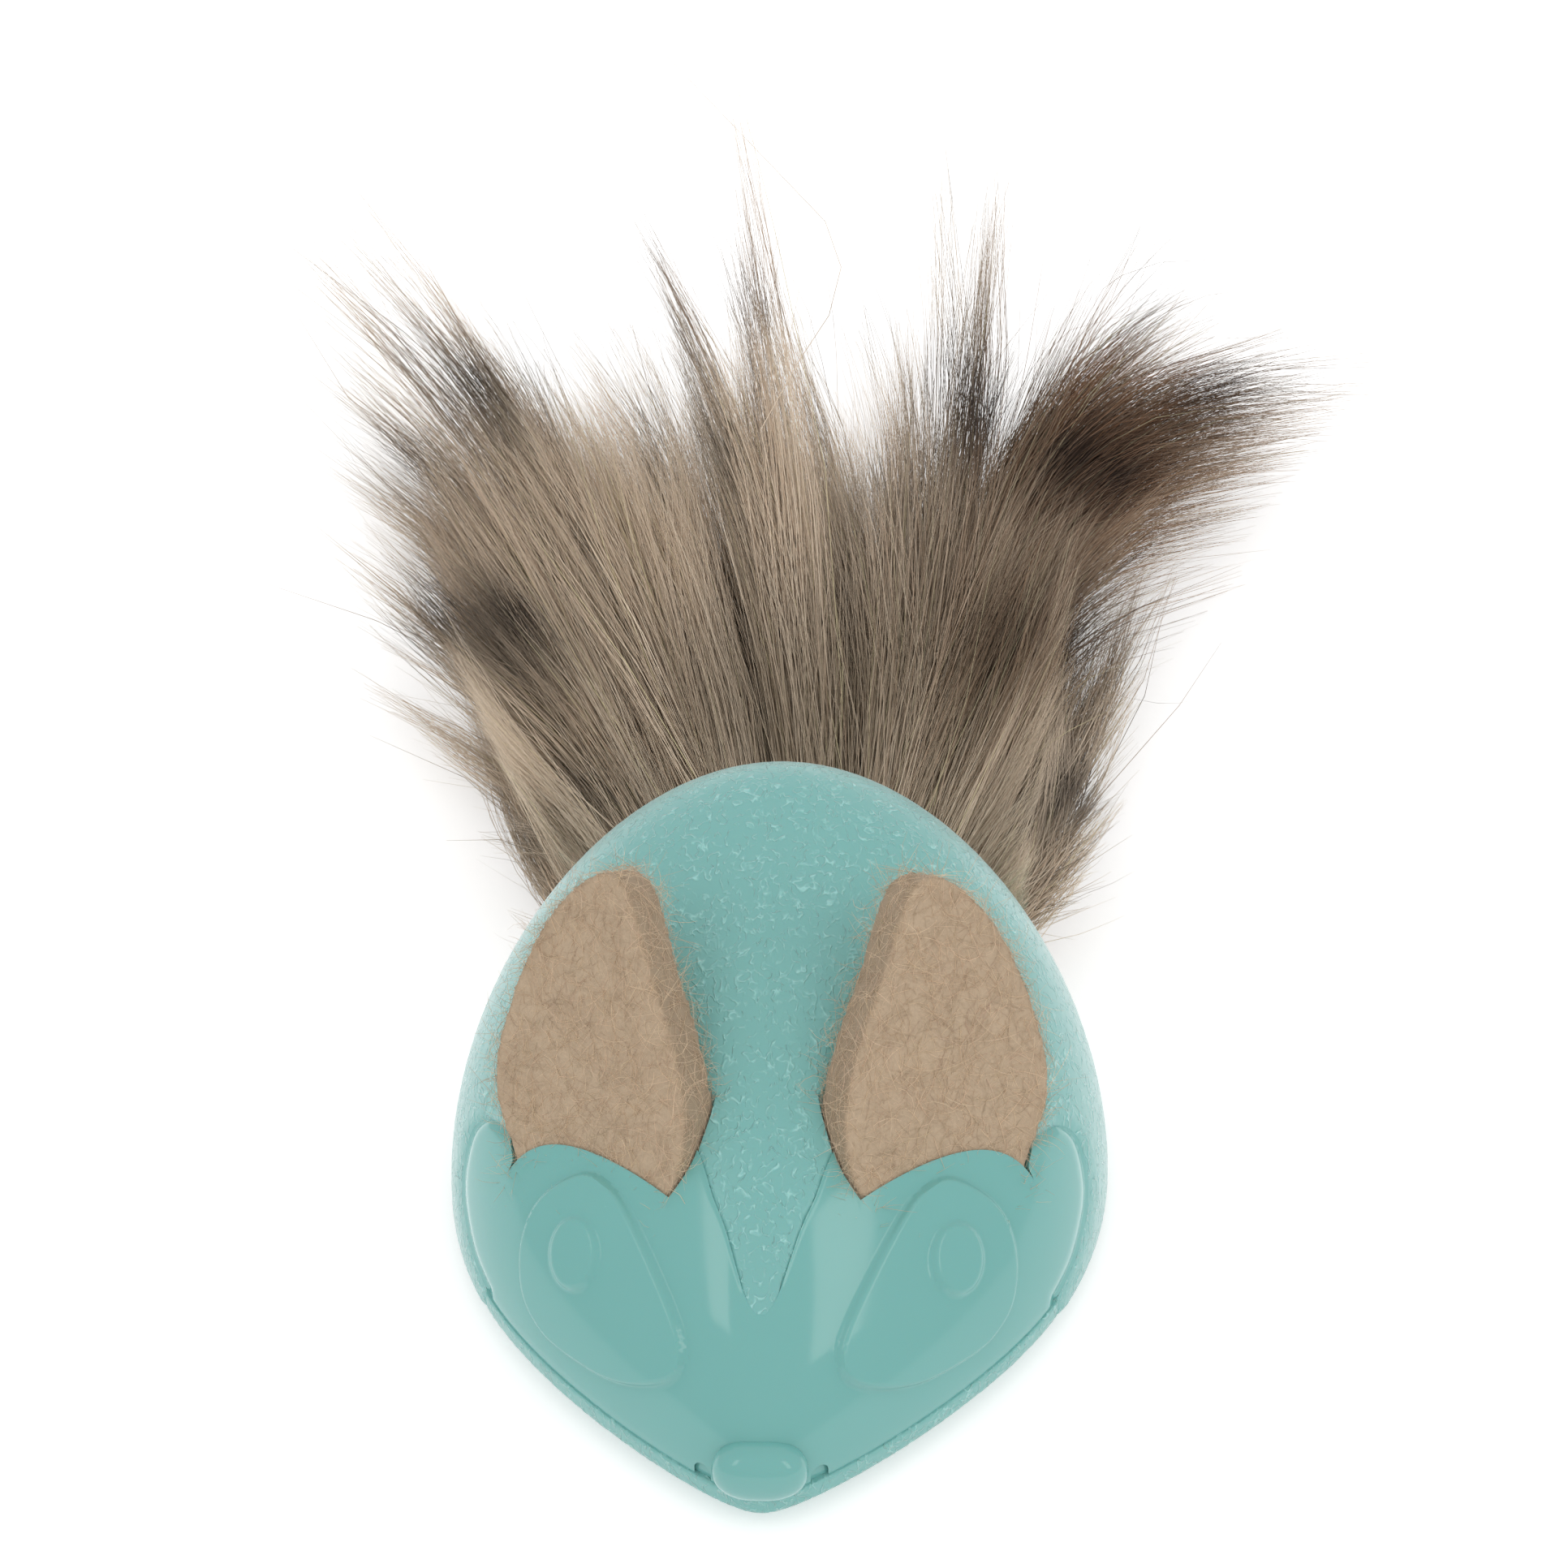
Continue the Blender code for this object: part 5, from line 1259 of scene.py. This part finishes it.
def pixels_of(points):
    """The photograph's pixels that show points of the toy's own frame."""
    view = camera_frame().inverted()
    seen = points @ np.array(view.to_3x3()).T + np.array(view.translation)
    focus = bpy.context.scene.cat_toy_stage.lens / SENSOR_WIDTH * PHOTO_SIDE
    across, down = -focus * seen[..., 0] / seen[..., 2], focus * seen[..., 1] / seen[..., 2]
    return np.stack([PHOTO_MIDDLE + across, PHOTO_MIDDLE + down], axis=-1)


def tone_at(pixels):
    """How pale and how brown the pile is at pixels, blended from the nearest patches."""
    patches = np.array(TONES, dtype=float)
    away = ((pixels[..., None, :] - patches[:, :2]) ** 2).sum(-1) / patches[:, 2] ** 2
    weight = np.exp(-np.minimum(away, 30)) + 1e-9 / (1 + away)
    blend = (weight / weight.sum(-1, keepdims=True)) @ patches[:, 3:]
    return blend[..., :1], blend[..., 1:]


def streak_at(pixels):
    """How dark a streak makes the guard hairs at pixels; a streak is longer along the fan than across it."""
    streaks = streak_table()
    along = streaks[:, :2] - FAN_FOOT
    along /= np.linalg.norm(along, axis=1)[:, None]
    gap = pixels[..., None, :] - streaks[:, :2]
    ahead = (gap * along).sum(-1)
    aside = gap[..., 0] * along[:, 1] - gap[..., 1] * along[:, 0]
    away = ((ahead / 1.5) ** 2 + (aside / 0.85) ** 2) / streaks[:, 2] ** 2
    return (streaks[:, 3] * np.exp(-np.minimum(away, 30))).max(-1)


def hair_roots(turns, rng):
    """Where hairs leave the strip, and the way that they leave it."""
    tail, body = bpy.context.scene.cat_toy_tail, bpy.context.scene.cat_toy_body
    edge = outline_points(turns, -tail.backing_setback + 0.2 * MM)
    floor = body.rim_clearance + body.plate_thickness + 0.4 * MM
    root = np.stack([edge[:, 0], edge[:, 1], floor + rng.uniform(0, 2.9, len(turns)) * MM], axis=1)
    return root, np.stack([np.cos(turns), np.sin(turns), np.zeros(len(turns))], axis=1)


def place_hairs(curves, steps):
    """Places along hairs, at the shares that steps gives for each hair."""
    root, bend, tips, sway, rate, phase, lowest = curves
    t = steps[..., None]
    places = root[:, None] * (1 - t) ** 2 + bend[:, None] * 2 * t * (1 - t) + tips[:, None] * t**2
    places = places + sway[:, :1] * np.sin(t * rate + phase) * t + sway[:, 1:] * np.cos(t * rate * 2.1 + phase) * t
    places[..., 2] = np.maximum(places[..., 2], lowest)
    return places


def grow_hairs(root, out, tips, aside, bow, wave, pale, streaked, member, rng):
    """Paths and colours of hairs that start square to the strip and sway; more steps lie where a streak is."""
    tail = bpy.context.scene.cat_toy_tail
    count = len(root)
    span = np.linalg.norm(tips - root, axis=1)
    bend = root + out * (span * bow)[:, None] + aside
    bend[:, 2] += (tips[:, 2] - root[:, 2]) * 0.5 + span * 0.03
    curves = (
        root, bend, tips, rng.normal(0, 1, (count, 2, 3)) * (span * wave)[:, None, None],
        rng.uniform(3, 6, (count, 1, 1)), rng.uniform(0, 2 * math.pi, (count, 1, 1)),
        (0.12 + 0.25 * rng.random((count, 1))) * MM,
    )
    strands = member.max() + 1
    scatter = rng.normal(0, 15, (strands, 2))[member] + rng.normal(0, 6, (count, 2))
    scatter = scatter[:, None]
    guess = place_hairs(curves, np.broadcast_to(GUESSED_STEPS, (count, len(GUESSED_STEPS))))
    dark = streak_at(pixels_of(guess) + scatter)
    peak = GUESSED_STEPS[dark.argmax(1)]
    band = rng.normal(0.84, 0.05, strands)[member] + rng.normal(0, 0.02, count)
    banded = (rng.random(strands) * streaked)[member] > 0.8
    peak = np.where(dark.max(1) > 0.2, np.clip(peak, 0.1, 0.92), np.clip(band, 0.5, 0.93))
    steps = np.concatenate([
        np.broadcast_to(FIXED_STEPS, (count, len(FIXED_STEPS))),
        peak[:, None] + np.array(STREAK_STEPS),
    ], axis=1)
    steps.sort(axis=1)
    places = place_hairs(curves, steps)
    pixels = pixels_of(places)
    paleness, brownness = tone_at(pixels)
    root_colour, pale_colour, brown_colour, dark_colour = (
        np.array(c) for c in (tail.root_colour, tail.pale_colour, tail.brown_colour, tail.dark_colour))
    # Painted light: the last part of each hair is painted paler and less brown, standing in for light that shines
    # through the thin ends.
    ends = rising((steps[..., None] - 0.88) / 0.12)
    paleness = np.clip(paleness + pale[:, None, None] + 0.2 * ends, 0, 1.1)
    colours = root_colour * (1 - paleness) + pale_colour * paleness
    warm = np.clip(brownness + rng.normal(0, 0.15, (count, 1, 1)), 0, 1) * (1 - 0.5 * ends)
    colours = colours * (1 - warm) + brown_colour * (0.6 + 0.8 * paleness) * warm
    straw = (rng.random((count, 1, 1)) < 0.035)
    colours = np.where(straw, np.array(tail.straw_colour) * (0.6 + 0.4 * paleness), colours)
    taken = np.clip(streaked - rng.random(strands)[member], 0, 0.4)[:, None, None] * 2.5
    near_band = np.exp(-(((steps - band[:, None]) / 0.07) ** 2)) * 0.85 * banded[:, None]
    deep = np.maximum(streak_at(pixels + scatter)[..., None] * taken, near_band[..., None])
    return places, np.clip(colours * (1 - deep) + dark_colour * deep, 0, 1), steps


def sideways_axes(run):
    """Two axes square to a direction: level, and upwards."""
    ahead = run / np.linalg.norm(run)
    across = np.cross(ahead, (0, 0, 1))
    across /= np.linalg.norm(across)
    return across, np.cross(across, ahead)


def tuft_hairs(tuft, rng):
    """Paths, widths and colours of one tuft's hairs, which gather into finer points."""
    lock, px, py, height, width, count = tuft[:6]
    curl = tuft_bend(tuft)
    tail = bpy.context.scene.cat_toy_tail
    count = max(int(count * tail.density), 4)
    turns = lock_turn(lock) + rng.uniform(-1.2, 1.2, count) * tail.spread / LOCKS
    root, out = hair_roots(turns, rng)
    tip = np.array(seen_at(px, py, height * MM))
    start = root.mean(axis=0)
    run = tip - start
    across, upward = sideways_axes(run)
    points = max(count // 9, 3)
    member = rng.integers(points, size=count)
    point_reach = 1 - np.abs(rng.normal(0, 0.08, points))
    point_reach[0] = 1.0
    point_fan = rng.normal(0, 0.8, (points, 2)) * width * MM
    point_fan[0] = 0
    reach = point_reach[member] - rng.beta(1.2, 4, count) * 0.36
    stray = rng.random(count) < 0.1
    fan = point_fan[member] + rng.normal(0, 0.09, (count, 2)) * (width + 0.4) * MM
    fan[stray] += rng.normal(0, 2.2, (stray.sum(), 2)) * MM
    reach[stray] += rng.uniform(-0.2, 0.08, stray.sum())
    tips = start + run * reach[:, None] + across * fan[:, :1] + upward * fan[:, 1:] * 0.6
    swell = (rng.normal(0, 0.8, (points, 2)))[member] * (width + 0.5) * MM
    swell += rng.normal(0, 0.25, (count, 2)) * (width + 0.3) * MM
    aside = across * (swell[:, :1] - curl * MM * reach[:, None] ** 2) + upward * swell[:, 1:] * 0.8
    pale = (rng.normal(0, 0.14, points))[member] + rng.normal(0, 0.08, count)
    wave = np.where(stray, 0.02, 0.007)
    bow = rng.uniform(0.32, 0.46, count)
    if curl:
        before_bend = start + run * reach[:, None] * (0.5 + 0.0125 * abs(curl))
        aside = aside + before_bend - (root + out * (np.linalg.norm(tips - root, axis=1) * bow)[:, None])
        aside[:, 2] = upward[2] * swell[:, 1] * 0.8
    paths, tints, steps = grow_hairs(root, out, tips, aside, bow, wave, pale, 1.25, member, rng)
    coarse = rng.uniform(0.35, 0.85, count)[:, None]
    return paths, tail.hair_width * coarse * (1 - 0.8 * steps**2.5), tints


def undercoat_hairs(lock, rng):
    """The fine soft hairs between the tufts, in small clumps that fill the fan out to its edge."""
    tail = bpy.context.scene.cat_toy_tail
    clumps, each = 22, int(38 * tail.density)
    count = clumps * each
    member = np.repeat(np.arange(clumps), each)
    clump_share = (lock - (np.arange(clumps) + rng.random(clumps)) / clumps) / LOCKS
    share = clump_share[member] + rng.uniform(-0.35, 0.35, count) / LOCKS
    share = np.clip(share, 0.001, 0.999)
    root, out = hair_roots(math.pi / 2 + tail.spread * (1 - 2 * share), rng)
    aim = np.clip(clump_share + rng.normal(0, 0.028, clumps), 0, 1)[member] + rng.normal(0, 0.012, count)
    place = np.clip(aim, 0, 1) * (len(UNDERCOAT_EDGE) - 1)
    edge = np.array(UNDERCOAT_EDGE, dtype=float)
    pixel = np.stack([np.interp(place, range(len(edge)), edge[:, i]) for i in (0, 1)], axis=1)
    low, high = (1.4, 7.0) if lock % 2 else (5.5, 14.0)
    level = rng.uniform(low, high, clumps)[member] + rng.normal(0, 0.5, count)
    tips = np.array([seen_at(px, py, z * MM) for (px, py), z in zip(pixel, level)])
    reach = (1.0 - np.abs(rng.normal(0, 0.13, clumps)))[member] - rng.beta(1.2, 3, count) * 0.45
    tips = root + (tips - root) * np.clip(reach, 0.3, 1.05)[:, None]
    swell = rng.normal(0, 1.3, (clumps, 3))[member] * MM + rng.normal(0, 0.7, (count, 3)) * MM
    pale = (rng.normal(0, 0.15, clumps))[member] + rng.normal(0, 0.07, count)
    paths, tints, steps = grow_hairs(
        root, out, tips, swell, rng.uniform(0.25, 0.45, count), np.full(count, 0.012), pale, 0.35, member, rng)
    widths = tail.hair_width * rng.uniform(0.3, 0.6, count)[:, None] * (1 - 0.75 * steps**2.5)
    return paths, widths, tints


class OBJECT_OT_cat_toy_fur(Operator):
    """Build the tail's pile, one piece for each lock"""
    bl_idname = "object.cat_toy_fur"
    bl_label = "Build Fur"

    def execute(self, context):
        rng = np.random.default_rng(7)
        material = hair_material()
        for lock in range(1, LOCKS + 1):
            hairs = [tuft_hairs(tuft, rng) for tuft in TUFTS if tuft[0] == lock]
            hairs.append(undercoat_hairs(lock, rng))
            paths, widths, tints = (np.concatenate(part) for part in zip(*hairs))
            piece = strand_piece(f"tail_fur_{lock:02d}", paths, widths, tints)
            piece.data.materials.append(material)
            finish_piece(piece, f"fur_lock_{lock:02d}", sharp=0)
        return {"FINISHED"}


class OBJECT_OT_cat_toy_backing(Operator):
    """Build the knit strip that carries the pile"""
    bl_idname = "object.cat_toy_backing"
    bl_label = "Build Backing"

    def execute(self, context):
        body, tail = context.scene.cat_toy_body, context.scene.cat_toy_tail
        turns = np.linspace(math.pi / 2 - tail.spread, math.pi / 2 + tail.spread, 60)
        outer = outline_points(turns, -tail.backing_setback)
        inner = outline_points(turns[::-1], -tail.backing_setback - tail.backing_width)
        floor = body.rim_clearance + body.plate_thickness + 0.3 * MM
        strip = plan_prism("strip", np.concatenate([outer, inner]), floor, floor + tail.backing_thickness)
        work = add_object("work", strip)
        soft = work.modifiers.new("soft", "BEVEL")
        soft.width = tail.backing_thickness / 4
        soft.segments = 3
        bpy.context.view_layer.update()
        mesh = bpy.data.meshes.new_from_object(work.evaluated_get(bpy.context.evaluated_depsgraph_get()))
        bpy.data.objects.remove(work)
        finish_piece(add_object("tail_strip", mesh, knit_material()), "tail_backing")
        return {"FINISHED"}


class OBJECT_OT_cat_toy_marble(Operator):
    """Build the glass marble with its coloured ribbon"""
    bl_idname = "object.cat_toy_marble"
    bl_label = "Build Marble"

    def execute(self, context):
        radius = (MARBLE_HIGH.z - MARBLE_LOW.z) / 2
        bm = bmesh.new()
        bmesh.ops.create_uvsphere(bm, u_segments=96, v_segments=48, radius=radius)
        bmesh.ops.translate(bm, verts=bm.verts, vec=(0, 0, radius))
        ball = add_object("glass_marble", mesh_from("glass_marble", bm), glass_material())
        finish_piece(ball, "marble", "marble", sharp=0)
        ribbon = vane_material()
        for number in range(3):
            bm = bmesh.new()
            bmesh.ops.create_cube(bm, size=1)
            bmesh.ops.scale(bm, verts=bm.verts, vec=(0.35 * MM, radius * 1.15, radius * 1.3))
            bmesh.ops.subdivide_edges(bm, edges=bm.edges, cuts=12, use_grid_fill=True)
            for vert in bm.verts:
                twist = Matrix.Rotation(vert.co.z / radius * 1.6 + number * math.pi / 3, 3, "Z")
                taper = math.sqrt(max(1 - (vert.co.z / (radius * 0.72)) ** 2, 0.02))
                vert.co = twist @ Vector((vert.co.x, vert.co.y * taper, vert.co.z))
            bmesh.ops.translate(bm, verts=bm.verts, vec=(0, 0, radius))
            vane = add_object(f"marble_ribbon_{number + 1}", mesh_from("marble_ribbon", bm), ribbon)
            finish_piece(vane, None, "marble")
        return {"FINISHED"}


class OBJECT_OT_cat_toy_base(Operator):
    """Build the base plate with its textured lip, and finish the cup, the clamp and the screws"""
    bl_idname = "object.cat_toy_base"
    bl_label = "Build Base and Finish Fasteners"

    def execute(self, context):
        body = context.scene.cat_toy_body
        radius = (MARBLE_HIGH.z - MARBLE_LOW.z) / 2
        low, top = body.rim_clearance, mask_floor_height() + 0.02 * MM
        mid = body.rim_clearance + body.plate_thickness
        lip = slab_mesh("lip", [
            (low, -0.4 * MM), (low + 0.1 * MM, -0.15 * MM), (low + 0.3 * MM, -0.02 * MM),
            *((z, 0.0) for z in np.linspace(low + 0.5 * MM, top - 0.3 * MM, 6)),
            (top - 0.12 * MM, -0.02 * MM), (top - 0.03 * MM, -0.08 * MM), (top, -0.2 * MM),
        ])
        roughen(lip, 1.4 * body.grain, 0.3 * MM)
        inner = -body.shell_wall - 0.3 * MM
        plate = slab_mesh("plate", [(low, inner - 0.1 * MM), (low + 0.1 * MM, inner), (mid, inner)], 300)
        steps = [("UNION", carve(lip, ("INTERSECT", plan_prism("zone", lip_zone(), 0, 10 * MM))))]
        steps.append(("UNION", round_mesh("ring", radius + 2 * MM, low + 0.2 * MM, radius - 0.3 * MM, segments=128)))
        holes = []
        for name in ("front", "left", "right"):
            x, y = screw_place("base_screw_" + name)
            steps.append(("UNION", round_mesh("pad", 3 * MM, low + 0.2 * MM, mid + 1.5 * MM, (x, y))))
            holes.append(("DIFFERENCE", round_mesh("hole", 1.05 * MM, 0, 10 * MM, (x, y))))
            holes.append(("DIFFERENCE", round_mesh("head_space", 2.2 * MM, 0, low + 1.35 * MM, (x, y))))
        for name in ("left", "right"):
            place = screw_place("tail_clamp_screw_" + name)
            holes.append(("DIFFERENCE", round_mesh("hole", 1.05 * MM, 0, 10 * MM, place)))
        socket = egg_mesh("socket", [2 * radius + 0.6 * MM] * 3, (0, 0, radius), segments=128)
        base = carve(plate, *steps, *holes, ("DIFFERENCE", socket))
        finish_piece(add_object("toy_base", base, base_material()), "base")
        white, steel = white_plastic_material(), steel_material()
        finishes = {"marble_cup": white, "tail_clamp": white}
        for name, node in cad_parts.items():
            material = finishes.get(name, steel if "screw" in name else None)
            if material:
                for slot in node.material_slots:
                    slot.material = material
        return {"FINISHED"}


def screw_place(node):
    """Where a screw stands in the toy's own plan."""
    low, high = (Vector(corner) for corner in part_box(node))
    return (low.x + high.x) / 2 - PLACE.x, (low.y + high.y) / 2 - PLACE.y


class OBJECT_OT_cat_toy_stage(Operator):
    """Build the floor, the lamps and the camera"""
    bl_idname = "object.cat_toy_stage"
    bl_label = "Build Stage"

    def execute(self, context):
        stage = context.scene.cat_toy_stage
        bm = bmesh.new()
        bmesh.ops.create_grid(bm, x_segments=8, y_segments=8, size=3.0)
        floor = add_object("floor", mesh_from("floor", bm), floor_material())
        context.scene.view_settings.view_transform = "Standard"
        world = context.scene.world or bpy.data.worlds.new("World")
        context.scene.world = world
        world.use_nodes = True
        background = world.node_tree.nodes["Background"]
        background.inputs["Color"].default_value = (1, 1, 1, 1)
        background.inputs["Strength"].default_value = stage.world_strength
        add_lamp("key_left", (-0.56, -0.31, 0.75), (-0.28, -0.78, -0.56), (0.13, 0.36), stage.lamp_radiance)
        add_lamp("key_right", (0.65, -0.35, 0.66), (0.35, -0.63, -0.69), (0.16, 0.5), stage.lamp_radiance)
        camera = bpy.data.objects.new("camera", bpy.data.cameras.new("camera"))
        context.scene.collection.objects.link(camera)
        camera.matrix_world = Matrix.Translation(PLACE) @ camera_frame()
        camera.data.lens = stage.lens
        camera.data.sensor_width = SENSOR_WIDTH
        camera.data.clip_start = 0.01
        context.scene.camera = camera
        return {"FINISHED"}


def floor_material():
    """White floor that looks white to the camera and keeps the toy's soft shadow."""
    made, shading, principled = new_material("floor_white", Base_Color=(0.93, 0.93, 0.93, 1), Roughness=0.9)
    shading.give(principled, "Specular IOR Level", 0.0)
    rays = shading.add("ShaderNodeLightPath")
    seen = shading.math("MULTIPLY", rays.outputs["Is Camera Ray"], 0.4)
    mirrored = shading.math("MAXIMUM", rays.outputs["Is Glossy Ray"], rays.outputs["Is Transmission Ray"])
    away = shading.add("ShaderNodeVectorMath", {"operation": "LENGTH"})
    shading.tree.links.new(shading.object_place(), away.inputs[0])
    fade = shading.ramp(away.outputs["Value"], (0.03, 1.0), (0.5, 0.0))
    mirrored = shading.math("MULTIPLY", shading.math("MULTIPLY", mirrored, fade), 0.75)
    shading.give(principled, "Emission Color", (1.0, 1.0, 1.0, 1))
    shading.give(principled, "Emission Strength", shading.math("ADD", seen, mirrored))
    return made


def add_lamp(name, away, along, size, radiance):
    """A soft box that faces the toy, from the direction to it and the direction of its longer side."""
    stage = bpy.context.scene.cat_toy_stage
    lamp = bpy.data.lights.new(name, "AREA")
    lamp.shape = "RECTANGLE"
    lamp.size, lamp.size_y = size
    lamp.energy = radiance * math.pi * size[0] * size[1]
    lamp.color = stage.lamp_colour
    made = bpy.data.objects.new(name, lamp)
    bpy.context.scene.collection.objects.link(made)
    back = Vector(away).normalized()
    side = Vector(along).cross(back).normalized()
    made.matrix_world = Matrix((side, back.cross(side), back)).transposed().to_4x4()
    made.location = PLACE + Vector((0, 0, 10 * MM)) + back * stage.lamp_distance
    return made


class VIEW3D_PT_cat_toy(Panel):
    """Sizes, colours and building steps of the toy"""
    bl_label = "Rolling Marble Cat Toy"
    bl_space_type = "VIEW_3D"
    bl_region_type = "UI"
    bl_category = "Cat Toy"

    def draw(self, context):
        for step in STEPS:
            self.layout.operator(step.bl_idname)
        for name in SETTINGS:
            group = getattr(context.scene, name)
            box = self.layout.box()
            for key in group.__annotations__:
                box.prop(group, key)


SETTINGS = {
    "cat_toy_body": CatToyBody,
    "cat_toy_face": CatToyFace,
    "cat_toy_ears": CatToyEars,
    "cat_toy_tail": CatToyTail,
    "cat_toy_stage": CatToyStage,
}
STEPS = [
    OBJECT_OT_cat_toy_stage,
    OBJECT_OT_cat_toy_shell,
    OBJECT_OT_cat_toy_mask,
    OBJECT_OT_cat_toy_ears,
    OBJECT_OT_cat_toy_fur,
    OBJECT_OT_cat_toy_backing,
    OBJECT_OT_cat_toy_marble,
    OBJECT_OT_cat_toy_base,
]


def register():
    for name, group in SETTINGS.items():
        bpy.utils.register_class(group)
        setattr(bpy.types.Scene, name, PointerProperty(type=group))
    for step in STEPS:
        bpy.utils.register_class(step)
    bpy.utils.register_class(VIEW3D_PT_cat_toy)


def unregister():
    bpy.utils.unregister_class(VIEW3D_PT_cat_toy)
    for step in reversed(STEPS):
        bpy.utils.unregister_class(step)
    for name, group in reversed(SETTINGS.items()):
        delattr(bpy.types.Scene, name)
        bpy.utils.unregister_class(group)


def main():
    """Builds the toy."""
    register()
    for step in STEPS:
        group, name = step.bl_idname.split(".")
        if getattr(getattr(bpy.ops, group), name)() != {"FINISHED"}:
            raise RuntimeError(step.bl_label + " did not finish")
    bpy.context.view_layer.update()


if __name__ == "__main__":
    main()
